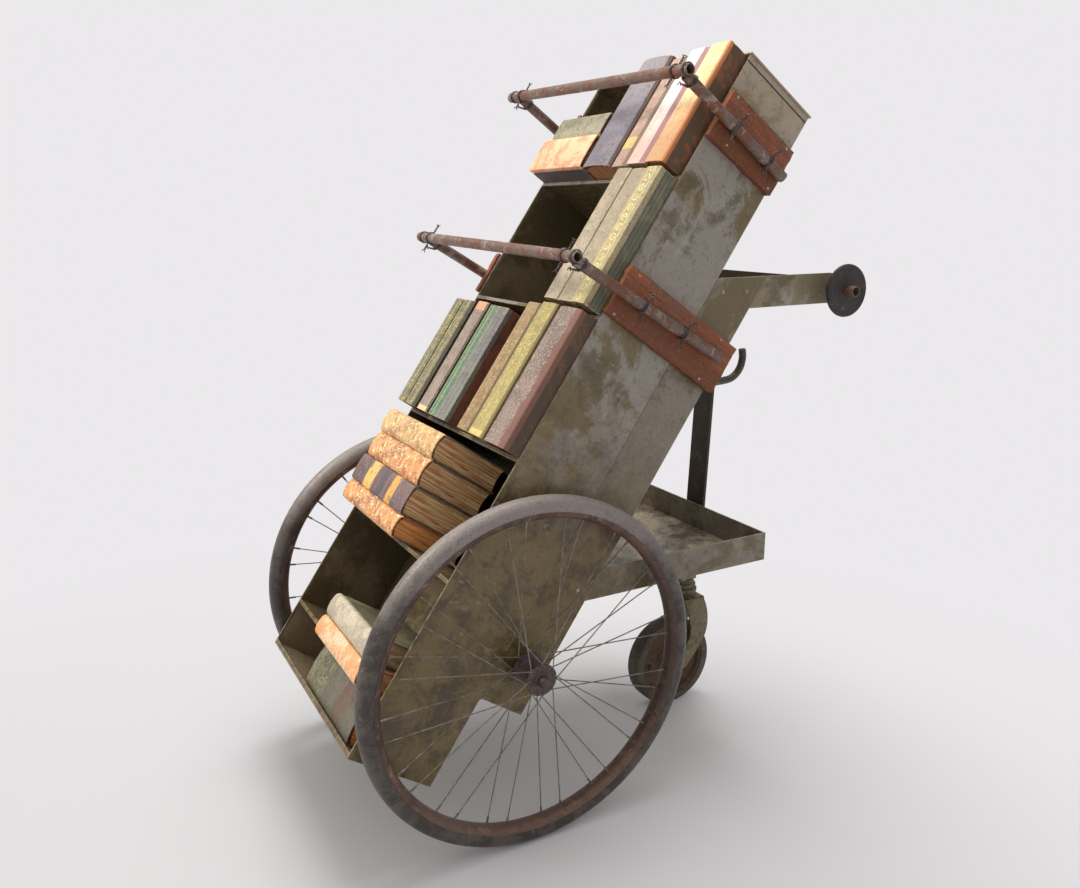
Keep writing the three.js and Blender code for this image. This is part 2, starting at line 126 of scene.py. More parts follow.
class Paint:
    """One material under construction. Most methods add a node and return its output."""

    def __init__(self, name, in_case_axes=False):
        self.material = bpy.data.materials.new(name)
        self.material.use_nodes = True
        self.nodes = self.material.node_tree.nodes
        self.links = self.material.node_tree.links
        self.shader = self.nodes["Principled BSDF"]
        self.where = self.add("ShaderNodeTexCoord").outputs["Object"]
        if in_case_axes:
            turn = Matrix.Rotation(LEAN, 3, "X")
            settings = {"Vector": self.where, "Location": -(turn @ CASE_FOOT), "Rotation": (LEAN, 0, 0)}
            self.where = self.add("ShaderNodeMapping", settings).outputs[0]
        self.split = self.add("ShaderNodeSeparateXYZ", {0: self.where}).outputs

    def put(self, socket, value):
        if isinstance(value, bpy.types.NodeSocket):
            self.links.new(value, socket)
        else:
            socket.default_value = value

    def add(self, kind, sockets=None, **settings):
        node = self.nodes.new(kind)
        for name, value in settings.items():
            setattr(node, name, value)
        for key, value in (sockets or {}).items():
            self.put(node.inputs[key], value)
        return node

    def noise(self, scale, detail, rough, stretch=(1, 1, 1), warp=0):
        """Noise around 0.5, with scale features to the metre, drawn out along an axis by a small stretch."""
        spot = self.add("ShaderNodeMapping", {"Vector": self.where, "Scale": stretch})
        sockets = {"Vector": spot.outputs[0], "Scale": scale, "Detail": detail, "Roughness": rough}
        sockets["Distortion"] = warp
        return self.add("ShaderNodeTexNoise", sockets).outputs["Fac"]

    def cracks(self, scale):
        """Distance from the borders of a cell pattern."""
        sockets = {"Vector": self.where, "Scale": scale}
        return self.add("ShaderNodeTexVoronoi", sockets, feature="DISTANCE_TO_EDGE").outputs["Distance"]

    def step(self, value, low, high):
        """0 below low, 1 above high, smooth between. Falls where low is above high."""
        sockets = {"Value": value, "From Min": low, "From Max": high}
        return self.add("ShaderNodeMapRange", sockets, interpolation_type="SMOOTHSTEP").outputs["Result"]

    def patches(self, low, high, *grain, **shape):
        """Noise cut to patches: 0 where it is below low, 1 above high."""
        return self.step(self.noise(*grain, **shape), low, high)

    def maths(self, operation, first, second=0.0):
        return self.add("ShaderNodeMath", {0: first, 1: second}, operation=operation).outputs[0]

    def plus(self, first, second):
        return self.maths("ADD", first, second)

    def minus(self, first, second):
        return self.maths("SUBTRACT", first, second)

    def times(self, first, second):
        return self.maths("MULTIPLY", first, second)

    def mix(self, amount, first, second, blend="MIX"):
        sockets = {0: amount, 6: first, 7: second}
        return self.add("ShaderNodeMix", sockets, data_type="RGBA", blend_type=blend).outputs[2]

    def wash(self, colour, shade, mask, amount):
        """Lays a shade over the colour where the mask is 1, to the given amount."""
        return self.mix(self.times(mask, amount), colour, shade)

    def between(self, value, low, high, soft=0.0006):
        """1 from low to high and 0 outside, with soft borders."""
        rise = self.step(value, low - soft, low + soft)
        fall = self.step(value, high + soft, high - soft)
        return self.times(rise, fall)

    def worn(self, radius):
        """1 along an edge, falling to 0 within the radius."""
        rounded = self.add("ShaderNodeBevel", {"Radius": radius}, samples=4).outputs[0]
        flat = self.add("ShaderNodeNewGeometry").outputs["Normal"]
        dot = self.add("ShaderNodeVectorMath", {0: rounded, 1: flat}, operation="DOT_PRODUCT")
        return self.step(dot.outputs["Value"], 0.998, 0.86)

    def swirls(self, scale, bands):
        """Winding ornament: the contour lines of a warped noise, 0 to 1."""
        field = self.noise(scale, 2, 0.5, warp=1.6)
        wave = self.maths("PINGPONG", self.times(field, bands), 0.5)
        return self.times(wave, 2.0)

    def toward(self, colour, axis, low, high, shade, amount):
        """Blends to a shade along an axis, with a ragged border."""
        drift = self.minus(self.noise(20, 6, 0.75), 0.5)
        ragged = self.times(drift, 1.6 * abs(high - low))
        share = self.step(self.plus(self.split[axis], ragged), low, high)
        return self.wash(colour, shade, share, amount)

    def done(self, colour, roughness, metallic=0.0, height=None, relief=0.0005):
        self.put(self.shader.inputs["Base Color"], colour)
        self.put(self.shader.inputs["Roughness"], roughness)
        self.shader.inputs["Metallic"].default_value = metallic
        if height is not None:
            bump = self.add("ShaderNodeBump", {"Height": height, "Distance": relief})
            self.put(self.shader.inputs["Normal"], bump.outputs[0])
        return self.material


def painted_sheet(name, grey, olive, dust, seams=(), painted_shade_inside=False, stained=0.93):
    """Old grey paint over sheet steel: olive and brown stains, pale scuffs and worn edges, paler towards the
    top, with pale dust on up-facing faces that is partly painted light from above.

    Seams are (axis, place) in case axes, drawn as dark lines of painted shade in a groove. The stain takes
    over towards the foot.
    """
    seam_half = 0.0014
    p = Paint(name, in_case_axes=True)
    broad = p.noise(4.2, 9, 0.66, warp=0.8)
    colour = p.mix(p.step(broad, 0.50, 0.555), grey, olive)
    blotch = p.noise(11, 9, 0.7, warp=0.2)
    colour = p.wash(colour, tint(88, 76, 50), p.step(blotch, 0.53, 0.63), 0.75)
    pale = p.noise(8, 9, 0.72, stretch=(1, 1, 0.6), warp=0.6)
    colour = p.wash(colour, dust, p.step(pale, 0.55, 0.62), 0.5)
    stain = p.mix(p.patches(0.42, 0.60, 21, 9, 0.78, warp=0.3), tint(117, 98, 55), tint(76, 60, 32))
    colour = p.toward(colour, 2, 0.86, 0.46, stain, stained)
    colour = p.toward(colour, 2, 1.28, 1.40, tint(188, 168, 140), 0.55)
    fine = p.noise(120, 6, 0.78)
    colour = p.wash(colour, tint(62, 54, 40), p.step(fine, 0.54, 0.64), 0.4)
    scuff = p.noise(46, 9, 0.82, stretch=(1, 0.5, 1), warp=0.4)
    colour = p.wash(colour, tint(170, 160, 140), p.step(scuff, 0.60, 0.65), 0.6)
    # Up-facing faces turn pale: partly dust, partly painted light from above.
    level = p.add("ShaderNodeSeparateXYZ", {0: p.add("ShaderNodeNewGeometry").outputs["Normal"]}).outputs[2]
    settled_dust_and_top_light = p.times(p.step(level, 0.90, 0.98), p.step(blotch, 0.60, 0.42))
    colour = p.wash(colour, tint(214, 198, 170), settled_dust_and_top_light, 0.9)
    height = p.plus(p.times(broad, 3.0), fine)
    # Each seam is a dark line of painted shade in the crease, also sunk in the bump.
    for axis, place in seams:
        seam = p.between(p.split[axis], place - seam_half, place + seam_half)
        colour = p.mix(seam, colour, tint(44, 38, 30))
        height = p.minus(height, seam)
    edge = p.worn(0.004)
    chips = p.times(edge, p.patches(0.36, 0.58, 60, 5, 0.7))
    colour = p.wash(colour, tint(166, 155, 134), chips, 0.75)
    # Inner faces of the case get painted shade: a dark, patchy tone that is lighter towards the bottom bay.
    if painted_shade_inside:
        inner = p.step(p.maths("ABSOLUTE", p.split[0]), PANEL_INNER + 0.0016, PANEL_INNER + 0.0006)
        inner = p.times(inner, p.step(p.split[1], CASE_DEPTH - 0.0006, CASE_DEPTH - 0.0016))
        inner = p.times(inner, p.step(p.split[1], 0.001, 0.008))
        inner_shade = p.mix(p.patches(0.45, 0.58, 7, 8, 0.72), tint(84, 74, 52), tint(116, 104, 82))
        inner_shade = p.toward(inner_shade, 2, 0.13, 0.05, tint(146, 130, 106), 0.7)
        colour = p.mix(inner, colour, inner_shade)
    return p.done(colour, p.step(fine, 0.1, 1.3), 0.0, height, 0.0006)


def board_wood():
    """Red-brown oiled planks: grain along the board, dark lower edges, bruises and pale scratches."""
    p = Paint("board_wood", in_case_axes=True)
    grain = p.noise(130, 7, 0.7, stretch=(1, 0.06, 1), warp=0.5)
    colour = p.mix(p.step(grain, 0.26, 0.74), tint(120, 64, 38), tint(162, 94, 56))
    broad = p.noise(12, 8, 0.72, stretch=(1, 0.6, 1), warp=0.6)
    colour = p.wash(colour, tint(122, 80, 60), p.step(broad, 0.50, 0.58), 0.8)
    bruise = p.noise(30, 8, 0.75, warp=0.9)
    colour = p.wash(colour, tint(70, 42, 30), p.step(bruise, 0.56, 0.62), 0.7)
    for middle_up in (sum(BOARD_UPPER[:2]) / 2, sum(BOARD_LOWER[:2]) / 2):
        lower_half = p.between(p.split[2], middle_up - 0.07, middle_up - 0.004, 0.010)
        colour = p.wash(colour, tint(106, 56, 25), lower_half, 0.75)
    crack = p.patches(0.36, 0.30, 70, 3, 0.5, stretch=(1, 0.03, 1))
    colour = p.mix(crack, colour, tint(56, 32, 24))
    spots = p.patches(0.57, 0.63, 150, 6, 0.8)
    colour = p.wash(colour, tint(190, 132, 92), spots, 0.5)
    colour = p.wash(colour, tint(74, 40, 28), p.patches(0.46, 0.40, 210, 6, 0.8), 0.6)
    edge = p.times(p.worn(0.004), p.patches(0.42, 0.6, 50, 5, 0.7))
    colour = p.wash(colour, tint(86, 48, 36), edge, 0.7)
    height = p.minus(grain, p.times(crack, 2.0))
    return p.done(colour, 0.62, 0.0, height, 0.0009)


def rusted(name, base, rust, pale, scale, metallic, roughness, ends=()):
    """Bare steel gone to patchy rust with paler dry bloom. Ends are (axis, low, high, shade, amount)."""
    p = Paint(name)
    broad = p.noise(scale, 9, 0.72, warp=0.8)
    colour = p.mix(p.step(broad, 0.48, 0.54), base, rust)
    bloom = p.noise(scale * 1.8, 9, 0.8, warp=1.0)
    colour = p.wash(colour, pale, p.step(bloom, 0.54, 0.60), 0.75)
    for end in ends:
        colour = p.toward(colour, *end)
    fine = p.noise(scale * 9, 6, 0.78)
    colour = p.wash(colour, tint(46, 36, 30), p.step(fine, 0.53, 0.62), 0.5)
    height = p.plus(fine, p.times(bloom, 2.0))
    return p.done(colour, roughness, metallic, height, 0.0004)


def rubber(name, base, dust, roughness, ends=()):
    """Aged rubber with a dusty bloom and fine crazing. Ends are as for rusted steel."""
    p = Paint(name)
    broad = p.noise(13, 9, 0.72, warp=0.6)
    colour = p.mix(p.step(broad, 0.45, 0.56), base, dust)
    for end in ends:
        colour = p.toward(colour, *end)
    fine = p.noise(220, 6, 0.78)
    colour = p.wash(colour, tint(42, 37, 36), p.step(fine, 0.52, 0.62), 0.45)
    chalk = p.noise(60, 8, 0.8, warp=0.8)
    colour = p.wash(colour, tint(150, 142, 140), p.step(chalk, 0.58, 0.64), 0.35)
    crazing = p.cracks(210)
    height = p.plus(p.step(crazing, 0.0, 0.06), fine)
    return p.done(colour, roughness, 0.0, height, 0.0003)


def plain_steel(name, base, shade, metallic, roughness):
    """Steel of two close shades, with a fine grain."""
    p = Paint(name)
    broad = p.noise(60, 6, 0.7)
    colour = p.mix(p.step(broad, 0.4, 0.64), base, shade)
    fine = p.noise(500, 3, 0.7)
    return p.done(colour, roughness, metallic, fine, 0.0002)


def cloth(name, look):
    """Book covering. Object axes are (across the spine, back into the book, along the spine).

    A look has a base, a mottle and a speck colour, and may have these: fade, labels and gilt along the
    spine; stripes, a scroll and a flank across it; a side, from the joint back; and plies on that side.
    The flank is partly the cover's own colour and partly painted shade; on one book the fade is a painted
    sheen.
    """
    p = Paint(name)
    broad = p.noise(look.get("patch", 14), 8, 0.72, warp=0.8)
    colour = p.mix(p.step(broad, 0.45, 0.55), look["base"], look["mottle"])
    if "fade" in look:
        colour = p.toward(colour, 2, *look["fade"])
    grain = p.noise(look.get("grain", 230), 6, 0.8)
    flecks = p.times(p.step(grain, 0.52, 0.58), look.get("flecks", 0.5))
    colour = p.mix(flecks, colour, look["speck"])
    soiled = p.times(p.patches(0.45, 0.38, 95, 8, 0.82), look.get("soil", 0.45))
    colour = p.mix(soiled, colour, tint(96, 78, 62), blend="MULTIPLY")
    height = grain
    for low, high, shade in look.get("labels", ()):
        ragged = p.plus(p.split[2], p.times(p.minus(grain, 0.5), 0.006))
        label = p.times(p.between(ragged, low, high), p.patches(0.38, 0.46, 66, 7, 0.75))
        colour = p.wash(colour, shade, label, 0.85)
    for low, high, shade in look.get("stripes", ()):
        stripe = p.times(p.between(p.split[0], low, high, 0.0004), p.patches(0.36, 0.50, 58, 7, 0.78))
        colour = p.wash(colour, shade, stripe, 0.8)
    if "gilt" in look:
        lines = p.step(p.swirls(look.get("gilt_scale", 60), 9), 0.50, 0.72)
        broken = p.patches(0.42, 0.54, 60, 7, 0.75)
        gilding = p.times(lines, broken)
        if "gilt_from" in look:
            gilding = p.times(gilding, p.step(p.split[2], *look["gilt_from"]))
        colour = p.wash(colour, look["gilt"], gilding, 0.85)
        height = p.plus(height, gilding)
    if "scroll" in look:
        centre, pitch, shade = look["scroll"]
        across = p.minus(p.split[0], centre)
        along = p.minus(p.maths("MODULO", p.split[2], pitch), pitch / 2)
        reach = p.maths("SQRT", p.plus(p.maths("POWER", across, 2.0), p.maths("POWER", along, 2.0)))
        ring = p.between(reach, pitch * 0.24, pitch * 0.36, 0.0005)
        border = p.between(p.maths("ABSOLUTE", across), pitch * 0.50, pitch * 0.58, 0.0003)
        dot = p.step(reach, pitch * 0.1, pitch * 0.06)
        ornament = p.maths("MAXIMUM", p.maths("MAXIMUM", ring, border), dot)
        ornament = p.times(ornament, p.patches(0.40, 0.50, 80, 6, 0.75))
        colour = p.mix(ornament, colour, shade)
        height = p.plus(height, ornament)
    # The flank is a band on the spine's near side: partly the cover's own colour, partly painted shade.
    if "flank" in look:
        start, shade = look["flank"]
        wander = p.times(p.minus(p.noise(34, 8, 0.8), 0.5), look.get("ragged", 0.004))
        flank = p.step(p.plus(p.split[0], wander), start - 0.001, start + 0.001)
        colour = p.wash(colour, shade, flank, 0.88)
    if "side" in look:
        joint, shade, blotch = look["side"]
        board = p.mix(p.patches(0.48, 0.55, 16, 9, 0.76, warp=1.0), shade, blotch)
        scratched = p.patches(0.60, 0.65, 70, 8, 0.82)
        board = p.wash(board, tint(150, 140, 128), scratched, 0.5)
        if "plies" in look:
            pitch = look["plies"]
            ply = p.step(p.maths("MODULO", p.split[1], pitch), pitch * 0.80, pitch * 0.88)
            board = p.wash(board, tint(62, 58, 44), ply, 0.7)
        colour = p.mix(p.step(p.split[1], joint - 0.001, joint + 0.001), colour, board)
    edge = p.times(p.worn(0.003), p.patches(0.34, 0.52, 80, 5, 0.7))
    colour = p.wash(colour, look.get("worn", tint(196, 172, 138)), edge, 0.75)
    return p.done(colour, 0.68, 0.0, height, 0.0004)


def leaves(name, pale, dark):
    """Cut page edges: layered lines that run back into the book and along it."""
    p = Paint(name)
    layers = p.noise(520, 3, 0.6, stretch=(1, 0.02, 0.02))
    thick = p.noise(150, 5, 0.7, stretch=(1, 0.05, 0.05), warp=0.3)
    colour = p.mix(p.step(layers, 0.45, 0.56), dark, pale)
    colour = p.mix(p.step(thick, 0.41, 0.37), colour, tint(92, 58, 36))
    broad = p.noise(24, 7, 0.7)
    colour = p.wash(colour, dark, p.step(broad, 0.52, 0.62), 0.5)
    return p.done(colour, 0.85, 0.0, p.plus(layers, thick), 0.0009)


# ---------- mesh helpers ----------
def smooth_piece(name, shape, material, body, angle=38):
    """Makes an object of a bmesh, smooth except at edges sharper than the angle, and rides it on a body."""
    bmesh.ops.recalc_face_normals(shape, faces=shape.faces)
    mesh = bpy.data.meshes.new(name)
    shape.to_mesh(mesh)
    shape.free()
    mesh.polygons.foreach_set("use_smooth", [True] * len(mesh.polygons))
    mesh.set_sharp_from_angle(angle=math.radians(angle))
    piece = bpy.data.objects.new(name, mesh)
    bpy.context.scene.collection.objects.link(piece)
    if material is not None:
        mesh.materials.append(material)
    if body is not None:
        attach(piece, body)
    return piece


def soften(piece, width, segments=2, angle=35):
    """Rounds the edges that are sharper than the angle."""
    bevel = piece.modifiers.new("soft_edges", "BEVEL")
    bevel.width = width
    bevel.segments = segments
    bevel.limit_method = "ANGLE"
    bevel.angle_limit = math.radians(angle)


def lathe(shape, profile, segments, place, closed=False, wobble=0.0):
    """Turns (along X, radius) points around X, then moves them by place. A closed profile makes a ring."""
    rings = []
    for along, radius in profile:
        ring = []
        if radius < 1e-7:
            ring = [shape.verts.new(place @ Vector((along, 0, 0)))] * segments
        else:
            for i in range(segments):
                angle = 2 * math.pi * i / segments
                spot = Vector((along, radius * math.cos(angle), radius * math.sin(angle)))
                if wobble:
                    spot += wobble * noise.noise_vector(spot * 45)
                ring.append(shape.verts.new(place @ spot))
        rings.append(ring)
    pairs = list(zip(rings, rings[1:]))
    if closed:
        pairs.append((rings[-1], rings[0]))
    for first, second in pairs:
        for i in range(segments):
            j = (i + 1) % segments
            corners = list(dict.fromkeys([first[i], second[i], second[j], first[j]]))
            if len(corners) > 2:
                shape.faces.new(corners)


def turned(name, profile, segments, place, material, body, angle=38, closed=True, wobble=0.0):
    """A lathed piece on a body."""
    shape = bmesh.new()
    lathe(shape, profile, segments, place, closed, wobble)
    return smooth_piece(name, shape, material, body, angle)


def aim_x(start, end):
    """A matrix that puts X along the line from start to end."""
    turn = Vector((1, 0, 0)).rotation_difference(end - start)
    return Matrix.Translation(start) @ turn.to_matrix().to_4x4()


def wire(shape, points, radius, sides=8):
    """Adds a round bar with closed ends through the points."""
    points = [Vector(p) for p in points]
    side = None
    rings = []
    for i, point in enumerate(points):
        ahead = points[min(i + 1, len(points) - 1)] - points[max(i - 1, 0)]
        ahead.normalize()
        if side is None:
            side = ahead.orthogonal().normalized()
        side = (side - ahead * side.dot(ahead)).normalized()
        up = ahead.cross(side)
        ring = []
        for k in range(sides):
            angle = 2 * math.pi * k / sides
            ring.append(shape.verts.new(point + radius * (math.cos(angle) * side + math.sin(angle) * up)))
        rings.append(ring)
    for first, second in zip(rings, rings[1:]):
        for k in range(sides):
            j = (k + 1) % sides
            shape.faces.new([first[k], first[j], second[j], second[k]])
    shape.faces.new(list(reversed(rings[0])))
    shape.faces.new(rings[-1])


def spline(points, steps):
    """A smooth line through the points."""
    points = [Vector(p) for p in points]
    padded = [2 * points[0] - points[1], *points, 2 * points[-1] - points[-2]]
    line = []
    for i in range(1, len(padded) - 2):
        a, b, c, d = padded[i - 1 : i + 3]
        for k in range(steps):
            t = k / steps
            rise = (c - a) * t
            bend = (2 * a - 5 * b + 4 * c - d) * t**2
            twist = (3 * b - a - 3 * c + d) * t**3
            line.append(0.5 * (2 * b + rise + bend + twist))
    line.append(points[-1])
    return line


def extruded(shape, outline, start, end, place):
    """Adds a closed prism of an outline of (Y, Z) points between two X values."""
    rings = []
    for x in (start, end):
        rings.append([shape.verts.new(place @ Vector((x, y, z))) for y, z in outline])
    count = len(outline)
    for i in range(count):
        j = (i + 1) % count
        shape.faces.new([rings[0][i], rings[0][j], rings[1][j], rings[1][i]])
    shape.faces.new(list(reversed(rings[0])))
    shape.faces.new(rings[1])


# ---------- books ----------
BOARD = 0.0026  # thickness of a cover
SQUARE = 0.003  # how far a cover stands past the pages
COVER_POINTS = 5  # points of the binding's outline that belong to one cover
CORD_RISE = 0.0018  # how far a raised band stands out of the spine


def binding_outline(thick, depth, bulge, roundness):
    """Outer line of a case binding in (across, back), from one fore edge round the spine to the other."""
    joint = bulge + 0.001
    left = [(0, depth), (0, joint + 0.012), (0.0013, joint + 0.0075), (0.0011, joint + 0.0045), (0, joint)]
    spine = []
    for i in range(1, 14):
        angle = math.pi * i / 14
        across = thick / 2 * (1 - math.cos(angle))
        spine.append((across, bulge * (1 - math.sin(angle) ** roundness)))
    right = [(thick - across, back) for across, back in reversed(left)]
    return [Vector(p) for p in left + spine + right]


def inset_line(line, distance):
    """The line moved to its inner side."""
    moved = []
    for i, point in enumerate(line):
        ahead = (line[min(i + 1, len(line) - 1)] - line[max(i - 1, 0)]).normalized()
        moved.append(point + distance * Vector((-ahead.y, ahead.x)))
    return moved


def binding(shape, thick, depth, height, bulge, roundness, cords):
    """Covers and spine in one shell. Cords are places along the spine where it stands out in a band."""
    outer = binding_outline(thick, depth, bulge, roundness)
    inner = inset_line(outer, BOARD)
    levels = [(0.0, 0.0), (0.0015, 0.0004), (height - 0.0015, 0.0004), (height, 0.0)]
    for cord in cords:
        for offset, rise in ((-0.0036, 0.0004), (-0.0018, CORD_RISE), (0.0018, CORD_RISE), (0.0036, 0.0004)):
            levels.append((cord * height + offset, rise))
    levels.sort()
    rows = []
    for up, rise in levels:
        row = []
        for i, point in enumerate(outer):
            on_spine = COVER_POINTS <= i < len(outer) - COVER_POINTS
            lift = CORD_RISE - rise if on_spine and cords else 0.0
            row.append(shape.verts.new((point.x, point.y + lift, up)))
        for point in reversed(inner):
            row.append(shape.verts.new((point.x, point.y + (CORD_RISE if cords else 0), up)))
        rows.append(row)
    count = len(rows[0])
    for first, second in zip(rows, rows[1:]):
        for i in range(count):
            j = (i + 1) % count
            shape.faces.new([first[i], first[j], second[j], second[i]])
    for row in (rows[0], rows[-1]):
        for i in range(count // 2 - 1):
            shape.faces.new([row[i], row[i + 1], row[count - 2 - i], row[count - 1 - i]])


def page_block(shape, thick, depth, height, bulge, slot):
    """Pages with a rounded back behind the spine and a hollow fore edge."""
    left, right = BOARD + 0.0002, thick - BOARD - 0.0002
    hollow = 0.09 * (right - left)
    outline = []
    for i in range(11):
        share = i / 10
        arch = math.sin(math.pi * share)
        outline.append((left + (right - left) * share, bulge * (1 - 0.8 * arch) + BOARD + 0.003))
    for i in range(11):
        share = 1 - i / 10
        arch = math.sin(math.pi * share)
        outline.append((left + (right - left) * share, depth - SQUARE - hollow * arch))
    rings = []
    for up in (SQUARE, height - SQUARE):
        rings.append([shape.verts.new((across, back, up)) for across, back in outline])
    count = len(outline)
    faces = [shape.faces.new(list(reversed(rings[0]))), shape.faces.new(rings[1])]
    for i in range(count):
        j = (i + 1) % count
        faces.append(shape.faces.new([rings[0][i], rings[0][j], rings[1][j], rings[1][i]]))
    for face in faces:
        face.material_index = slot


def book(name, spot, lying, look, paper):
    """One hardcover. Spot is [x0, x1, low, high, front, back] in case coordinates, in millimetres."""
    x0, x1, low, high, front, back = (value * MM for value in spot)
    depth = back - front
    if lying:
        thick, height = high - low, x1 - x0
        axes = Matrix(((0, 0, -1, 0), (0, 1, 0, 0), (1, 0, 0, 0), (0, 0, 0, 1)))
        place = CASE @ Matrix.Translation((x1, front, low)) @ axes
    else:
        thick, height = x1 - x0, high - low
        place = CASE @ Matrix.Translation((x0, front, low))
    shape = bmesh.new()
    bulge = look.get("bulge", 0.004)
    binding(shape, thick, depth, height, bulge, look.get("roundness", 0.5), look.get("cords", ()))
    page_block(shape, thick, depth, height, bulge, 1)
    piece = smooth_piece(name, shape, cloth(f"{name}_cloth", look), None, 40)
    piece.data.materials.append(paper)
    piece.matrix_world = place
    soften(piece, 0.0007)
    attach(piece, "cart")
    return piece


def cover(base, mottle, speck, **more):
    """The look of a book's cloth, as the function cloth takes it."""
    return {"base": tint(*base), "mottle": tint(*mottle), "speck": tint(*speck), **more}


def brocade(worn_side):
    """Gilded orange and purple-brown patterned spine of the lying stack."""
    return cover(
        (220, 146, 96), (172, 112, 84), (244, 206, 144),
        patch=19, flecks=0.25, gilt=tint(255, 228, 168), gilt_scale=30, bulge=0.009, roundness=1.0,
        side=(0.013, worn_side, tint(78, 66, 54)), cords=(0.2, 0.8), soil=0.7,
    )


def low_books():
    """The great volume, the two lying books over it and the lying stack of four."""
    brown = leaves("leaves_brown", tint(255, 228, 172), tint(216, 140, 90))
    amber = leaves("leaves_amber", tint(255, 186, 116), tint(222, 132, 72))
    cream = leaves("leaves_cream", tint(226, 206, 168), tint(184, 154, 116))
    stack_side = tint(112, 104, 92)
    return {
        "book_great_volume": [([-50, 205, 3.4, 99, 3.4, 168], True, amber, cover(
            (114, 108, 96), (98, 98, 84), (150, 144, 124),
            bulge=0.012, roundness=0.8, gilt=tint(156, 148, 98), gilt_scale=26, flecks=0.35,
            gilt_from=(0.13, 0.18), labels=((0.050, 0.096, tint(112, 90, 76)),),
            cords=(0.18, 0.62, 0.88)))],
        "book_orange": [([-24, 214, 107.4, 148, -44, 132], True, amber, cover(
            (226, 166, 116), (238, 204, 164), (196, 114, 76),
            patch=22, bulge=0.010, roundness=0.8, side=(0.018, tint(120, 70, 46), tint(84, 56, 44))))],
        "book_cream": [([-26, 186, 148.4, 195, -42, 128], True, cream, cover(
            (178, 168, 148), (206, 192, 168), (136, 126, 104),
            patch=26, bulge=0.011, roundness=0.8, side=(0.019, tint(92, 84, 64), tint(120, 112, 86))))],
        "books_stacked": [
            ([-249, 48, 342.4, 387.8, -44, 120], True, amber, brocade(tint(158, 92, 56))),
            ([-249, 42, 387.8, 446.8, -46, 124], True, brown, cover(
                (120, 98, 96), (100, 82, 84), (168, 146, 138),
                bulge=0.006, roundness=0.5, cords=(0.42, 0.56, 0.84), worn=tint(206, 150, 140),
                labels=(
                    (0.062, 0.092, tint(232, 176, 88)), (0.118, 0.146, tint(86, 84, 88)),
                    (0.176, 0.222, tint(240, 196, 112))),
                side=(0.012, stack_side, tint(72, 68, 60)))),
            ([-249, 32, 446.8, 505.8, -43, 118], True, brown, brocade(stack_side)),
            ([-249, 32, 505.8, 560, -46, 120], True, brown, {
                **brocade(stack_side), "base": tint(212, 164, 112), "mottle": tint(176, 132, 100)}),
        ],
    }


def standing_row(cream):
    """The row of nine in the fourth bay, with pages of cream paper."""
    olive_grey = cover(
        (114, 108, 98), (98, 94, 90), (168, 158, 116),
        gilt=tint(190, 178, 104), gilt_scale=44, flecks=0.4, worn=tint(170, 160, 128),
    )
    gold, shadow = tint(206, 192, 120), tint(64, 58, 50)
    return {
        "books_standing_far": [
            ([-249, -213, 582.4, 836, -42, 122], False, cream, {
                **olive_grey,
                "stripes": ((0.009, 0.0105, gold), (0.022, 0.024, gold), (0.031, 0.032, shadow))}),
            ([-213, -158, 582.4, 837, -40, 120], False, cream, {
                **olive_grey, "flank": (0.043, tint(52, 42, 32)),
                "stripes": ((0.007, 0.0085, gold), (0.020, 0.0215, shadow), (0.031, 0.033, gold))}),
            ([-158, -138, 582.4, 830, 10, 120], False, cream, cover(
                (58, 44, 34), (46, 36, 28), (84, 66, 50))),
            ([-138, -87, 582.4, 838, -43, 125], False, cream, cover(
                (150, 134, 122), (128, 112, 106), (212, 190, 164),
                labels=((0.236, 0.262, tint(220, 158, 120)), (0.0, 0.010, tint(236, 206, 150))),
                flank=(0.046, tint(52, 38, 30)), worn=tint(250, 226, 190))),
            ([-87, -50, 582.4, 837, -38, 120], False, cream, cover(
                (86, 116, 92), (102, 106, 96), (138, 160, 130),
                gilt=tint(150, 166, 112), gilt_scale=50,
                stripes=(
                    (0.004, 0.007, tint(150, 190, 156)), (0.013, 0.0145, tint(70, 96, 78)),
                    (0.019, 0.022, tint(160, 196, 164)), (0.029, 0.0302, tint(66, 84, 72))))),
            ([-50, -1.2, 582.4, 836, -40, 124], False, cream, cover(
                (124, 126, 116), (108, 102, 106), (166, 168, 146),
                stripes=(
                    (0.008, 0.010, tint(160, 168, 152)), (0.020, 0.0212, shadow), (0.034, 0.036, shadow)),
                side=(0.012, tint(112, 62, 44), tint(84, 50, 36)))),
        ],
        "books_standing_near": [
            ([58, 113, 582.4, 857, -40, 124], False, cream, cover(
                (142, 116, 84), (158, 132, 97), (106, 86, 60),
                gilt=tint(200, 174, 120), gilt_scale=44, flank=(0.045, tint(96, 78, 56)),
                stripes=((0.006, 0.0075, tint(196, 170, 120)), (0.026, 0.0275, tint(92, 74, 54))))),
            ([113, 171, 582.4, 861, -42, 120], False, cream, cover(
                (174, 158, 100), (152, 136, 92), (208, 192, 130),
                gilt=tint(214, 198, 122), gilt_scale=44, labels=((0.0, 0.012, tint(240, 206, 130)),),
                flank=(0.051, tint(120, 106, 68)),
                stripes=((0.008, 0.0095, tint(110, 98, 62)), (0.029, 0.0305, tint(112, 98, 62))))),
            ([171, 249, 582.4, 860, -40, 128], False, cream, cover(
                (138, 120, 110), (114, 98, 92), (206, 188, 170),
                bulge=0.008, roundness=0.7, flecks=0.7, flank=(0.062, tint(124, 82, 68)), ragged=0.05,
                side=(0.016, tint(84, 68, 52), tint(112, 78, 62)), worn=tint(176, 106, 80))),
        ],
    }


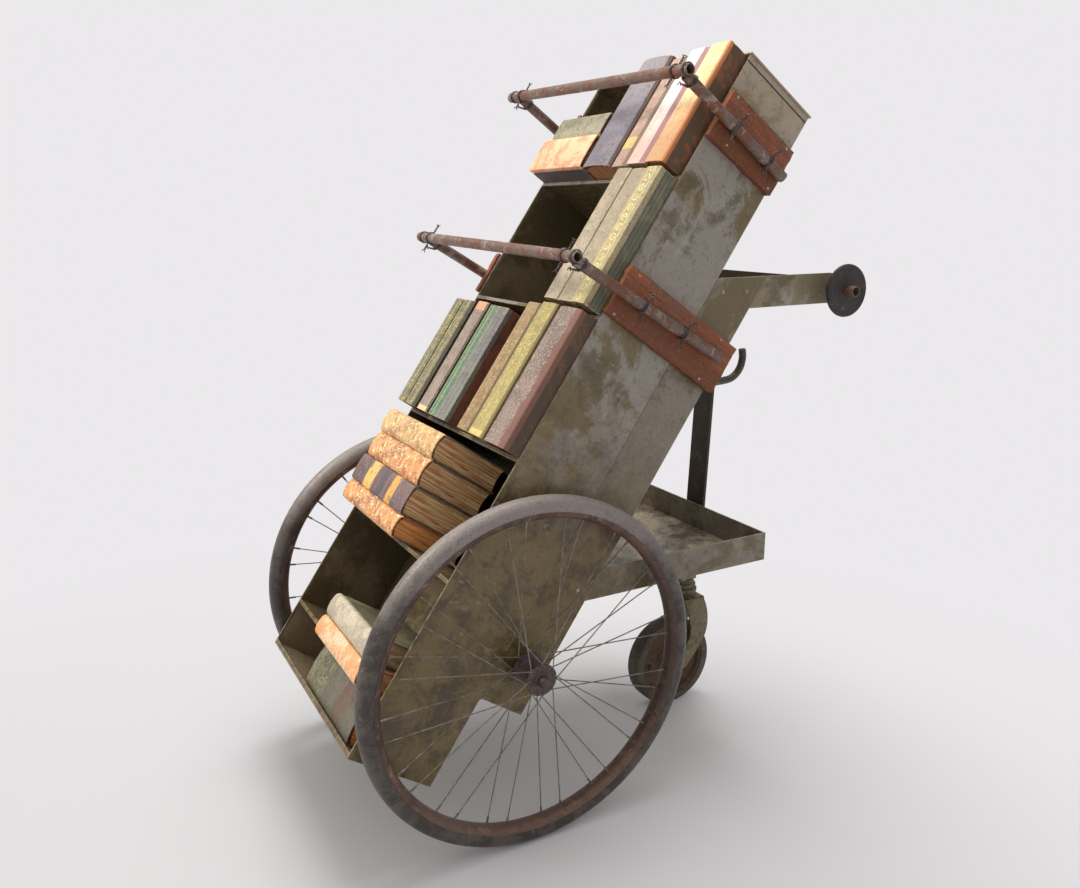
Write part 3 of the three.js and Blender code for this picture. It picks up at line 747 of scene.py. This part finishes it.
def high_books(cream):
    """Three standing books at the near side of the fifth bay, and the six books of the top bay."""
    brown = leaves("leaves_dark", tint(190, 134, 90), tint(140, 92, 58))
    dusty = cover(
        (182, 168, 144), (160, 146, 124), (132, 116, 94),
        flecks=0.7, worn=tint(224, 212, 178), soil=0.7,
    )
    gilt_band = {
        **dusty, "base": tint(186, 170, 124), "mottle": tint(172, 158, 124),
        "scroll": (0.023, 0.0205, tint(238, 222, 150)),
        "side": (0.014, tint(104, 104, 86), tint(126, 120, 98)), "plies": 0.0085,
    }
    return {
        "books_middle": [
            ([109, 156, 869.4, 1149, -44, 122], False, cream, dusty),
            ([156, 203, 869.4, 1148, -42, 124], False, cream, {**dusty, "base": tint(172, 160, 134)}),
            ([203, 249, 869.4, 1149, -44, 128], False, cream, gilt_band),
        ],
        "book_salmon": [([-249, -36, 1159.4, 1238, -48, 118], True, brown, cover(
            (246, 190, 150), (228, 142, 108), (255, 232, 180),
            patch=12, bulge=0.006, roundness=0.35, side=(0.013, tint(70, 66, 66), tint(96, 66, 56))))],
        "book_olive": [([-226, -36, 1238.4, 1290, -46, 112], True, brown, cover(
            (162, 154, 132), (136, 128, 106), (214, 206, 176),
            patch=20, bulge=0.005, roundness=0.35, soil=0.8,
            side=(0.012, tint(150, 100, 66), tint(96, 70, 50))))],
        "books_top": [
            ([-35.6, 69, 1159.4, 1412, -46, 110], False, brown, cover(
                (112, 108, 118), (130, 122, 128), (160, 152, 154),
                bulge=0.012, roundness=0.7, grain=200, flank=(0.096, tint(72, 48, 34)), soil=0.7,
                # This spine is painted paler towards its top: a painted sheen.
                fade=(0.10, 0.24, tint(150, 142, 144), 0.7),
                side=(0.022, tint(60, 46, 38), tint(84, 60, 46)), worn=tint(232, 150, 96))),
            ([69, 125, 1159.4, 1404, -38, 108], False, cream, cover(
                (172, 140, 124), (190, 162, 144), (140, 112, 98),
                flecks=0.7, labels=((0.040, 0.066, tint(214, 188, 112)),),
                flank=(0.037, tint(112, 96, 80)))),
            ([125, 184, 1159.4, 1411, -43, 112], False, cream, cover(
                (248, 238, 232), (238, 218, 210), (216, 184, 172),
                fade=(0.16, 0.04, tint(216, 172, 156), 0.85), flecks=0.35, flank=(0.044, tint(150, 100, 104)),
                worn=tint(250, 232, 220))),
            ([184, 243, 1159.4, 1412, -45, 118], False, brown, cover(
                (240, 206, 148), (252, 228, 176), (190, 132, 88),
                fade=(0.17, 0.05, tint(196, 146, 106), 0.85), patch=9, bulge=0.006, roundness=0.6,
                flank=(0.0535, tint(196, 116, 64)), side=(0.010, tint(92, 70, 52), tint(132, 80, 50)),
                worn=tint(212, 124, 66))),
        ],
    }


def build_books():
    """Every book group. The first book of a group takes the place of its node."""
    cream = leaves("leaves_pale", tint(206, 188, 150), tint(160, 134, 98))
    groups = {**low_books(), **standing_row(cream), **high_books(cream)}
    for node, volumes in groups.items():
        for i, (spot, lying, paper, look) in enumerate(volumes):
            name = f"{node}_{i + 1}" if len(volumes) > 1 else f"{node}_bound"
            piece = book(name, spot, lying, look, paper)
            if i == 0:
                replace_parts(piece, node)


# ---------- case, frame and boards ----------
def paint_nodes(names, material):
    for name in names:
        NODES[name].data.materials.clear()
        NODES[name].data.materials.append(material)


def build_sheet_metal():
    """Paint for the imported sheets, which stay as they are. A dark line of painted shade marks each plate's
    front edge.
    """
    grey, olive, dust = tint(148, 140, 130), tint(116, 101, 68), tint(170, 162, 148)
    top_seam = CASE_HEIGHT - 0.012
    case = painted_sheet("case_steel", grey, olive, dust, ((2, top_seam),), painted_shade_inside=True)
    plate_front = min((CASE.inverted() @ v.co).y for v in NODES["spine_plate_near"].data.vertices)
    frame_grey, frame_olive, frame_dust = tint(134, 124, 110), tint(110, 96, 66), tint(160, 150, 132)
    plate = painted_sheet("frame_steel", frame_grey, frame_olive, frame_dust, ((1, plate_front + 0.001),))
    # The handle arms take a lighter copy of the frame paint: painted light.
    lit_arm_paint = painted_sheet("arm_steel_painted_lit", tint(160, 150, 138), tint(140, 128, 104), tint(182, 172, 156))
    paint_nodes([n for n in NODES if n.endswith("_panel") or n.startswith(("side_panel", "shelf_"))], case)
    paint_nodes([n for n in NODES if n.startswith(("spine_plate", "arm_cross_plate"))], plate)
    tray_grey, tray_olive, tray_dust = tint(138, 130, 118), tint(112, 100, 74), tint(168, 158, 140)
    tray = painted_sheet("tray_steel", tray_grey, tray_olive, tray_dust, stained=0.4)
    paint_nodes([n for n in NODES if n.startswith(("tray", "caster_riser"))], tray)
    paint_nodes([n for n in NODES if n.startswith("handle_arm")], lit_arm_paint)
    dark = rusted("dark_steel", tint(62, 54, 36), tint(72, 58, 38), tint(100, 88, 62), 22, 0.1, 0.6)
    paint_nodes(["rear_post"], dark)


def rough_board(name, size, side, material):
    """A plank with slightly eaten edges. Size is its height and depth range in case coordinates."""
    low, high, front, back = size
    inner = PANEL_OUTER + BOARD_GAP
    thick = BOARD_FACE - inner
    shape = bmesh.new()
    bmesh.ops.create_cube(shape, size=1.0)
    bmesh.ops.subdivide_edges(shape, edges=shape.edges, cuts=13, use_grid_fill=True)
    rim_from = 0.86  # share of the half width beyond which the plank is eaten
    for vert in shape.verts:
        across, along, up = vert.co
        bite = 0.5 + 0.5 * noise.noise(Vector((along * 9 + side, up * 9, low * 50)))
        bite += 0.6 * max(0.0, noise.noise(Vector((along * 31, up * 31, side * 3 + low * 20))))
        shrink_up = 0.0028 * bite * max(0.0, abs(up) * 2 - rim_from) / (1 - rim_from)
        shrink_along = 0.0034 * bite * max(0.0, abs(along) * 2 - rim_from) / (1 - rim_from)
        across = side * (inner + thick * (across + 0.5))
        along = (front + back) / 2 + along * ((back - front) - 2 * shrink_along)
        up = (low + high) / 2 + up * ((high - low) - 2 * shrink_up)
        vert.co = in_case(across, along, up)
    board = smooth_piece(name, shape, material, "cart", 50)
    soften(board, 0.0012, angle=60)
    return board


def nail(shape, across, back, up, radius=0.0028):
    """A domed head, its axis along X, on the outer side of the face at across."""
    outward = 1 if across > 0 else -1
    place = Matrix.Translation(in_case(across, back, up)) @ Matrix.Diagonal((outward, 1, 1, 1))
    profile = [(-0.0005, radius), (0.0003, radius), (0.0011, radius * 0.75)]
    profile += [(0.0015, radius * 0.35), (0.0016, 0)]
    lathe(shape, profile, 14, place)


def build_boards():
    """The four planks with their nails, and the nails of the case's top. Nails are at (up, back)."""
    wood = board_wood()
    bright = plain_steel("nail_steel", tint(190, 176, 152), tint(140, 120, 96), 0.4, 0.45)
    nails = {
        "upper": ((1.331, 0.012), (1.252, 0.041), (1.330, 0.159), (1.249, 0.166)),
        "lower": ((0.965, 0.019), (0.883, 0.012), (0.968, 0.244), (0.884, 0.244)),
    }
    shape = bmesh.new()
    for side, word in ((1, "near"), (-1, "far")):
        for stem, size in (("upper", BOARD_UPPER), ("lower", BOARD_LOWER)):
            board = rough_board(f"plank_{stem}_{word}", size, side, wood)
            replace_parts(board, f"board_{stem}_{word}")
            for up, back in nails[stem]:
                nail(shape, side * BOARD_FACE, back, up)
        for up, back in ((1.398, 0.060), (1.398, 0.128), (1.352, 0.168)):
            nail(shape, side * PANEL_OUTER, back, up, 0.002)
    heads = smooth_piece("nail_heads", shape, bright, "cart")


def build_rivets():
    """Rivets through the spine plates and the handle arms."""
    steel = plain_steel("rivet_steel", tint(176, 168, 150), tint(126, 114, 96), 0.5, 0.5)
    shape = bmesh.new()
    plate_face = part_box("spine_plate_near")[1].x
    arm_middle = middle("handle_arm_near").z
    spots = [(WHEEL_CENTRE.y + 0.116, 0.452)]
    spots += [(WHEEL_CENTRE.y + 0.431, arm_middle + 0.0045), (WHEEL_CENTRE.y + 0.488, arm_middle + 0.0035)]
    profile = [(-0.0005, 0.0042), (0.0004, 0.0042), (0.0016, 0.003), (0.0021, 0.0014), (0.0022, 0)]
    for side in (1, -1):
        for y, z in spots:
            spot = Vector((side * plate_face, y, z))
            lathe(shape, profile, 16, Matrix.Translation(spot) @ Matrix.Diagonal((side, 1, 1, 1)))
    smooth_piece("rivets", shape, steel, "cart")


# ---------- pipe rails and wire ----------
def pipe_ends(node):
    """The middles of a straight pipe's two end faces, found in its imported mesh."""
    points = [v.co.copy() for v in NODES[node].data.vertices]
    centre = sum(points, Vector()) / len(points)
    far = max(points, key=lambda point: (point - centre).length)
    axis = (far - centre).normalized()
    reach = [(point - centre).dot(axis) for point in points]
    ends = []
    for limit in (min(reach), max(reach)):
        close = [point for point, along in zip(points, reach) if abs(along - limit) < 0.006]
        ends.append(sum(close, Vector()) / len(close))
    return ends


def pipe(name, start, end, outer, bore, material):
    """A hollow pipe with eased ends and small dents."""
    ease = 0.0009
    length = (end - start).length
    steps = max(3, int(length / 0.02))
    wall = outer - PIPE_DENT
    profile = [(0, bore), (0, outer - ease), (ease, wall)]
    profile += [(length * i / steps, wall) for i in range(1, steps)]
    profile += [(length - ease, wall), (length, outer - ease), (length, bore)]
    piece = turned(name, profile, 28, aim_x(start, end), material, "cart", 50, wobble=PIPE_DENT)
    return piece


def loop_points(centre, axis, radius, turns, rise):
    """A coil around an axis."""
    side = axis.orthogonal().normalized()
    up = axis.cross(side)
    points = []
    count = int(20 * turns)
    for i in range(count + 1):
        angle = 2 * math.pi * i / 20
        spot = centre + axis * (rise * i / count - rise / 2)
        points.append(spot + radius * (math.cos(angle) * side + math.sin(angle) * up))
    return points


def twisted_tail(shape, start, direction, length):
    """Two wire ends twisted round each other."""
    side = direction.orthogonal().normalized()
    up = direction.cross(side)
    for phase in (0, math.pi):
        points = []
        for i in range(15):
            angle = phase + i * 0.9
            reach = length * i / 14
            swing = 0.0014 + (0.0022 if i > 11 else 0)
            points.append(start + direction * reach + swing * (math.cos(angle) * side + math.sin(angle) * up))
        wire(shape, points, WIRE_RADIUS * 0.9, 6)


def tie(shape, centre, axis, tails):
    """Wire wound round a pipe, with twisted ends that stick out along each tail direction."""
    wire(shape, loop_points(centre, axis, WIRE_WIND, 2.3, 0.0062), WIRE_RADIUS, 6)
    for tail in tails:
        across = (tail - axis * tail.dot(axis)).normalized()
        twisted_tail(shape, centre + across * WIRE_WIND, tail.normalized(), 0.021)


def build_rails():
    """The two rails with their wire ties, and the push tube. Spots are places along the boards."""
    rust = rusted("rail_pipe", tint(114, 94, 84), tint(116, 74, 54), tint(168, 150, 138), 17, 0.1, 0.5)
    iron = plain_steel("tie_wire", tint(104, 98, 96), tint(66, 58, 56), 0.6, 0.5)
    wires = bmesh.new()
    up = CASE.to_3x3() @ Vector((0, 0, 1))
    forward = CASE.to_3x3() @ Vector((0, -1, 0))
    for stem, spots in (("rail_upper", (0.030, 0.128)), ("rail_lower", (0.048, 0.152))):
        ends = sorted(pipe_ends(f"{stem}_cross"), key=lambda point: point.x)
        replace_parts(pipe(f"{stem}_cross_pipe", *ends, PIPE_RADIUS, PIPE_BORE, rust), f"{stem}_cross")
        across = (ends[1] - ends[0]).normalized()
        for word, side in (("near", 1), ("far", -1)):
            node = f"{stem}_side_{word}"
            front, rear = sorted(pipe_ends(node), key=lambda point: point.y)
            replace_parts(pipe(f"{node}_pipe", front, rear, PIPE_RADIUS, PIPE_BORE, rust), node)
            along = (rear - front).normalized()
            crossing = ends[0] + across * (front - ends[0]).dot(across)
            tie(wires, crossing - across * side * 0.0165, across, (up, -up))
            tie(wires, crossing + across * side * 0.0155, across, ())
            tie(wires, front + along * 0.016, along, (forward - up * 0.4,))
            for back in spots:
                reach = back / max(0.1, along.dot(-forward))
                board_start = (in_case(0, 0, 0) - front).dot(-forward) / along.dot(-forward)
                spot = front + along * (board_start + reach)
                tie(wires, spot, along, (up + Vector((side * 0.9, 0, 0)), -up + Vector((side * 0.5, 0, 0))))
    smooth_piece("tie_wires", wires, iron, "cart", 60)
    tube_ends = sorted(pipe_ends("handle_tube"), key=lambda point: point.x)
    tube = pipe("push_tube", *tube_ends, 0.011, 0.0084, rust)
    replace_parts(tube, "handle_tube")


def build_discs():
    """Thin rubber discs that turn on the push tube."""
    bore, rounding = 0.0114, 0.004
    grip = rubber("disc_rubber", tint(44, 38, 35), tint(56, 49, 46), 0.55)
    for word, side in (("near", 1), ("far", -1)):
        low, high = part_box(f"handle_disc_{word}")
        centre, radius, half = (low + high) / 2, (high.z - low.z) / 2, (high.x - low.x) / 2
        edge = radius - rounding
        profile = [(-half, bore), (-half, edge)]
        for i in range(9):
            angle = math.pi * i / 8
            profile.append((-half * math.cos(angle), edge + rounding * math.sin(angle)))
        profile += [(half, edge), (half - 0.001, radius - 0.010)]
        profile += [(half - 0.001, 0.019), (half, 0.017), (half, bore)]
        place = Matrix.Translation(centre) @ Matrix.Diagonal((side, 1, 1, 1))
        disc = turned(f"disc_{word}", profile, 72, place, grip, f"{word}_disc")
        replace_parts(disc, f"handle_disc_{word}")


def build_hook():
    """A bent bar behind the post. The path is (behind the wheels' centre, height)."""
    dark = rusted("hook_steel", tint(70, 72, 64), tint(86, 74, 60), tint(112, 110, 98), 30, 0.2, 0.5)
    y = WHEEL_CENTRE.y
    path = [(0.6012, 0.759), (0.639, 0.759), (0.673, 0.764), (0.694, 0.782), (0.702, 0.806), (0.700, 0.828)]
    shape = bmesh.new()
    wire(shape, spline([(0, y + back, up) for back, up in path], 7), 0.0084, 24)
    bent = smooth_piece("bent_hook", shape, dark, "cart", 50)
    soften(bent, 0.0012)
    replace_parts(bent, "hook")


# ---------- wheels ----------
def on_wheel(side, across, radius, degrees):
    angle = math.radians(degrees)
    spot = Vector((side * (WHEEL_PLANE + across), radius * math.cos(angle), radius * math.sin(angle)))
    return spot + Vector((0, WHEEL_CENTRE.y, WHEEL_CENTRE.z))


def tyre_profile(seat, tread, half):
    """Plump section from one bead over the tread to the other, closed through the rim."""
    middle_radius = (seat + tread) / 2
    tall = (tread - seat) / 2
    profile = []
    for i in range(25):
        angle = math.radians(-125 + 250 * i / 24)
        profile.append((half * math.sin(angle), middle_radius + tall * math.cos(angle)))
    return profile


def spokes(side, material):
    """Crossed spokes of both flanges, each with an elbow, a head and a nipple."""
    shape = bmesh.new()
    for flange in (1, -1):
        across = flange * (FLANGE_AT + 0.0027)
        for k in range(SPOKES_PER_FLANGE):
            rim_angle = SPOKE_PHASE + SPOKE_PITCH * k + flange * SPOKE_PAIR_HALF
            hub_angle = rim_angle + (SPOKE_LEAD if k % 2 == 0 else -SPOKE_LEAD)
            inner = on_wheel(side, across, 0.025, hub_angle)
            outer = on_wheel(side, flange * 0.002, RIM_REACH, rim_angle)
            elbow = on_wheel(side, across - flange * 0.0045, 0.0247, hub_angle)
            wire(shape, [elbow, inner, inner.lerp(outer, 0.03), outer], SPOKE_RADIUS, 8)
            wire(shape, [inner.lerp(outer, 0.945), inner.lerp(outer, 0.998)], 0.0021, 8)
    return smooth_piece(f"spokes_{'near' if side > 0 else 'far'}", shape, material, None, 60)


def hub_profile():
    """A barrel between two flanges, with a collar at each end."""
    collar = [(-HUB_HALF, HUB_BORE), (-HUB_HALF, 0.0150), (-0.0300, 0.0168), (-0.0285, 0.0168)]
    profile = list(collar)
    for sign in (-1, 1):
        rim = [(-0.0022, 0.0200), (-0.0018, FLANGE_RADIUS - 0.0008), (0, FLANGE_RADIUS)]
        rim += [(0.0018, FLANGE_RADIUS - 0.0008), (0.0022, 0.0200)]
        profile += [(sign * FLANGE_AT + across, radius) for across, radius in rim]
        if sign < 0:
            profile += [(-0.018, 0.0165), (-0.010, 0.0140), (0.010, 0.0140), (0.018, 0.0165)]
    return profile + [(-across, radius) for across, radius in reversed(collar)]


def rim_profile():
    """A hollow rim section, from one hook over the spoke bed to the other and back along the well."""
    bed = [(0.0155, 0.3090), (0.0158, 0.3040), (0.0150, 0.2985), (0.0125, 0.2945), (0.0080, 0.2918)]
    well = [(0.0138, 0.3092), (0.0130, 0.3000)]
    profile = [(-across, radius) for across, radius in bed] + [(0, 0.2910)] + bed[::-1]
    return profile + well + [(0, 0.2950)] + [(-across, radius) for across, radius in reversed(well)]


def build_wheels():
    top, bottom = WHEEL_CENTRE.z + 0.12, WHEEL_CENTRE.z - 0.14
    # The rim is painted paler low down and darker towards the rear: painted light and painted shade over the
    # rust.
    painted_low_light = (2, bottom, bottom - 0.12, tint(132, 104, 90), 0.6)
    painted_rear_shade = (1, WHEEL_CENTRE.y + 0.20, WHEEL_CENTRE.y + 0.30, tint(70, 52, 42), 0.8)
    rim_colours = (tint(100, 74, 62), tint(78, 56, 44), tint(146, 122, 106))
    bare = rusted("rim_rust", *rim_colours, 15, 0.15, 0.5, (painted_rear_shade, painted_low_light))
    # The top of each tyre is painted paler: a painted highlight from above.
    painted_top_highlight = (2, top, top + 0.18, tint(154, 144, 138), 0.85)
    tread = rubber("tyre_rubber", tint(64, 56, 51), tint(92, 82, 76), 0.4, (painted_top_highlight,))
    steel = plain_steel("spoke_steel", tint(140, 131, 120), tint(98, 88, 78), 0.3, 0.4)
    hub_steel = rusted("hub_steel", tint(92, 78, 76), tint(80, 66, 58), tint(120, 106, 98), 40, 0.35, 0.5)
    section = tyre_profile(TYRE_SEAT, WHEEL_RADIUS, TYRE_HALF)
    for word, side in (("near", 1), ("far", -1)):
        body = f"{word}_wheel"
        place = Matrix.Translation((side * WHEEL_PLANE, WHEEL_CENTRE.y, WHEEL_CENTRE.z))
        tyre = turned(f"tyre_{word}", section, 160, place, tread, body, 60)
        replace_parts(tyre, f"wheel_tyre_{word}")
        band = turned(f"rim_{word}", rim_profile(), 160, place, bare, body, 50)
        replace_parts(band, f"wheel_rim_{word}")
        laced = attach(spokes(side, steel), body)
        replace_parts(laced, f"wheel_spokes_outer_{word}", f"wheel_spokes_inner_{word}")
        barrel = turned(f"hub_{word}", hub_profile(), 48, place, hub_steel, body)
        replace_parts(barrel, f"wheel_hub_{word}")
    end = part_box("wheel_axle")[1].x
    face = WHEEL_PLANE + HUB_HALF + 0.0003
    half = [(face, 0.0078), (face, 0.0108), (end - 0.006, 0.0108)]
    half += [(end - 0.0015, 0.0085), (end, 0.004), (end, 0)]
    profile = [(-across, radius) for across, radius in reversed(half)] + half
    place = Matrix.Translation((0, WHEEL_CENTRE.y, WHEEL_CENTRE.z))
    axle = turned("axle_bar", profile, 32, place, hub_steel, "cart", closed=False)
    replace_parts(axle, "wheel_axle")


# ---------- caster ----------
def build_caster():
    """The caster wheel with its bolts, under the fork, the collar and the through bolt."""
    paint = rusted("caster_steel", tint(122, 112, 84), tint(100, 90, 64), tint(152, 144, 118), 20, 0.1, 0.6)
    core_colours = (tint(90, 66, 46), tint(76, 56, 40), tint(108, 84, 64))
    core_rust = rusted("caster_core_rust", *core_colours, 20, 0.1, 0.65)
    worn_rubber = rubber("caster_rubber", tint(78, 68, 58), tint(96, 86, 74), 0.65)
    bolt_steel = plain_steel("bolt_steel", tint(84, 66, 52), tint(60, 46, 38), 0.5, 0.5)
    low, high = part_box("caster_tyre")
    centre, radius = (low + high) / 2, (high.z - low.z) / 2
    place = Matrix.Translation(centre)
    core_radius = radius - CASTER_TREAD
    shoulder = [(CASTER_HALF, core_radius), (CASTER_HALF, radius - 0.006)]
    shoulder += [(CASTER_HALF - 0.0015, radius - 0.0025), (CASTER_HALF - 0.005, radius - 0.0005)]
    profile = [(-across, reach) for across, reach in shoulder] + [(0.0, radius)] + shoulder[::-1]
    band = turned("caster_band", profile, 96, place, worn_rubber, "caster_wheel", 45)
    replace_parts(band, "caster_tyre")
    half = [(0.030, 0.0064), (0.030, 0.0155), (0.0285, 0.017), (0.0085, 0.0195), (CASTER_WEB, 0.024)]
    half += [(CASTER_WEB, 0.070), (0.009, 0.0745), (0.0165, 0.0775), (0.018, 0.080), (0.018, core_radius)]
    profile = half + [(-across, reach) for across, reach in reversed(half)]
    core = turned("caster_disc", profile, 72, place, core_rust, "caster_wheel")
    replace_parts(core, "caster_core")
    shape = bmesh.new()
    head = [(0, 0.0058), (0.0032, 0.0058), (0.0040, 0.0050), (0.0040, 0)]
    for side in (1, -1):
        for k in range(4):
            angle = math.radians(185 + 90 * k)
            out = Vector((0, math.cos(angle), math.sin(angle)))
            spot = centre + BOLT_CIRCLE * out + Vector((side * (CASTER_WEB - 0.0002), 0, 0))
            lathe(shape, head, 6, Matrix.Translation(spot) @ Matrix.Diagonal((side, 1, 1, 1)))
    smooth_piece("caster_bolts", shape, bolt_steel, "caster_wheel", 30)
    build_fork(paint)
    build_collar(paint)
    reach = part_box("caster_axle")[1].x
    bolt_face = FORK_OUTER + 0.0004
    half = [(bolt_face, 0.006), (bolt_face, 0.010), (reach - 0.001, 0.010), (reach, 0.009), (reach, 0)]
    profile = [(-across, size) for across, size in reversed(half)] + half
    place = Matrix.Translation(middle("caster_axle")) @ Matrix.Rotation(0.3, 4, "X")
    bolt = turned("caster_through_bolt", profile, 6, place, bolt_steel, "caster_swivel", 30, closed=False)
    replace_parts(bolt, "caster_axle")


def build_fork(paint):
    """Two pressed legs that curve down behind the wheel, under a crown plate and boss.

    The edges of a leg are (behind the wheels' centre, height).
    """
    y = WHEEL_CENTRE.y
    rear = [(0.586, FORK_TOP), (0.597, 0.232), (0.601, 0.205), (0.599, 0.178)]
    rear += [(0.588, 0.150), (0.566, 0.122), (0.540, 0.0925)]
    front = [(0.504, 0.0925), (0.500, 0.112), (0.516, 0.128), (0.535, 0.142), (0.550, 0.165), (0.552, 0.190)]
    front += [(0.545, 0.222), (0.532, FORK_TOP)]
    outline = []
    for edge in (rear, front):
        outline += [(point.y, point.z) for point in spline([(0, y + back, up) for back, up in edge], 4)]
    shape = bmesh.new()
    for side in (1, -1):
        start, end = sorted((side * FORK_INNER, side * FORK_OUTER))
        extruded(shape, outline, start, end, Matrix.Identity(4))
    under = FORK_TOP - CROWN_THICK
    crown = [(y + 0.530, under), (y + 0.588, under), (y + 0.588, FORK_TOP), (y + 0.530, FORK_TOP)]
    extruded(shape, crown, 0.0002 - FORK_OUTER, FORK_OUTER - 0.0002, Matrix.Identity(4))
    boss = Matrix.Translation((0, middle("caster_collar").y, 0)) @ Matrix.Rotation(-math.pi / 2, 4, "Y")
    lathe(shape, [(under, 0), (under, 0.026), (0.268, 0.026), (0.2697, 0.0245), (0.2697, 0)], 40, boss)
    yoke = smooth_piece("caster_yoke", shape, paint, "caster_swivel", 35)
    soften(yoke, 0.0016, 3)
    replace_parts(yoke, "caster_fork")


def build_collar(paint):
    """Stacked rings of the swivel race, under the riser."""
    low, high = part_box("caster_collar")
    centre = (low + high) / 2
    wide = (high.x - low.x) / 2
    tall = high.z - low.z
    neck = wide - 0.007
    profile = [(0, 0), (0, wide - 0.004), (0.003, wide), (0.009, wide), (0.012, wide - 0.005)]
    profile += [(0.014, wide - 0.006), (0.016, wide - 0.003), (0.021, wide - 0.003)]
    profile += [(0.024, neck), (tall, neck), (tall, 0)]
    place = Matrix.Translation((centre.x, centre.y, low.z)) @ Matrix.Rotation(-math.pi / 2, 4, "Y")
    race = turned("swivel_race", profile, 48, place, paint, "cart", 30, closed=False)
    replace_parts(race, "caster_collar")


# ---------- stage, light and camera ----------
FLOOR_HALF = 40
FADE_CENTRE = (0.35, -0.5, 0)
FADE_FROM = 0.75
FADE_TO = 2.0
CAMERA_SPOT = (1.642, -0.9348, 1.1375)
CAMERA_AZIMUTH = math.radians(61.33)
CAMERA_PITCH = math.radians(14.01)
CAMERA_ROLL = math.radians(-0.34)
CAMERA_LENS = 31.29
CAMERA_SENSOR = 36


def build_stage():
    """A pale floor that fades into the plain background away from the cart."""
    shape = bmesh.new()
    bmesh.ops.create_grid(shape, x_segments=1, y_segments=1, size=FLOOR_HALF)
    mesh = bpy.data.meshes.new("floor")
    shape.to_mesh(mesh)
    shape.free()
    floor = bpy.data.objects.new("floor", mesh)
    bpy.context.scene.collection.objects.link(floor)
    p = Paint("floor_paper")
    offset = p.add("ShaderNodeVectorMath", {0: p.where, 1: FADE_CENTRE}, operation="SUBTRACT").outputs[0]
    away = p.add("ShaderNodeVectorMath", {0: offset}, operation="LENGTH").outputs["Value"]
    fade = p.step(away, FADE_FROM, FADE_TO)
    glow = p.add("ShaderNodeEmission", {"Color": BACKDROP, "Strength": 1.0})
    p.done(tint(244, 242, 243), 0.9)
    blend = p.add("ShaderNodeMixShader", {0: fade, 1: p.shader.outputs[0], 2: glow.outputs[0]})
    p.put(p.nodes["Material Output"].inputs["Surface"], blend.outputs[0])
    mesh.materials.append(p.material)


def area_light(name, spot, target, size, power, colour):
    """A round soft light that shines from a spot at a target."""
    data = bpy.data.lights.new(name, "AREA")
    data.shape = "DISK"
    data.size = size
    data.energy = power
    data.color = colour
    light = bpy.data.objects.new(name, data)
    light.location = spot
    light.rotation_euler = (Vector(target) - Vector(spot)).to_track_quat("-Z", "Y").to_euler()
    bpy.context.scene.collection.objects.link(light)
    return light


def build_sky():
    """Soft studio dome: the camera sees an even backdrop, and the cart is lit mostly from above."""
    world = bpy.data.worlds.new("studio")
    world.use_nodes = True
    nodes, links = world.node_tree.nodes, world.node_tree.links
    backdrop = nodes["Background"]
    backdrop.inputs["Color"].default_value = BACKDROP
    dome = nodes.new("ShaderNodeBackground")
    height = nodes.new("ShaderNodeSeparateXYZ")
    links.new(nodes.new("ShaderNodeTexCoord").outputs["Generated"], height.inputs[0])
    strength = nodes.new("ShaderNodeMapRange")
    strength.inputs["From Min"].default_value = -0.1
    strength.inputs["From Max"].default_value = 0.9
    strength.inputs["To Min"].default_value = HORIZON_LIGHT
    strength.inputs["To Max"].default_value = ZENITH_LIGHT
    links.new(height.outputs["Z"], strength.inputs["Value"])
    links.new(strength.outputs["Result"], dome.inputs["Strength"])
    blend = nodes.new("ShaderNodeMixShader")
    links.new(nodes.new("ShaderNodeLightPath").outputs["Is Camera Ray"], blend.inputs[0])
    links.new(dome.outputs[0], blend.inputs[1])
    links.new(backdrop.outputs[0], blend.inputs[2])
    links.new(blend.outputs[0], nodes["World Output"].inputs["Surface"])
    bpy.context.scene.world = world


def build_light():
    """The dome, a light overhead, and a warm key from the front that leaves the floor out."""
    build_sky()
    area_light("overhead", (-0.5, 0.35, 3.6), (0, 0, 0), size=2.2, power=57, colour=(1.0, 0.985, 0.98))
    key = area_light("key", (-1.0, -2.8, 3.6), (0, -0.1, 0.6), size=1.8, power=130, colour=(1.0, 0.94, 0.85))
    unlit = bpy.data.collections.new("not_lit_by_key")
    unlit.objects.link(bpy.data.objects["floor"])
    key.light_linking.receiver_collection = unlit
    unlit.collection_objects[0].light_linking.link_state = "EXCLUDE"
    bpy.context.scene.view_settings.view_transform = "Standard"


def build_camera():
    """The photograph's view: from the front near corner, a little above the cart."""
    azimuth, pitch, roll = CAMERA_AZIMUTH, CAMERA_PITCH, CAMERA_ROLL
    out = math.cos(pitch)
    ahead = Vector((-math.sin(azimuth) * out, math.cos(azimuth) * out, -math.sin(pitch)))
    level = Vector((math.cos(azimuth), math.sin(azimuth), 0))
    upright = level.cross(ahead)
    right = level * math.cos(roll) + upright * math.sin(roll)
    up = upright * math.cos(roll) - level * math.sin(roll)
    data = bpy.data.cameras.new("camera")
    data.sensor_width = CAMERA_SENSOR
    data.lens = CAMERA_LENS
    camera = bpy.data.objects.new("camera", data)
    turn = Matrix((right, up, -ahead)).transposed().to_4x4()
    camera.matrix_world = Matrix.Translation(CAMERA_SPOT) @ turn
    bpy.context.scene.collection.objects.link(camera)
    bpy.context.scene.camera = camera


build_camera()
build_stage()
build_light()
build_sheet_metal()
build_boards()
build_rivets()
build_rails()
build_discs()
build_hook()
build_wheels()
build_caster()
build_books()
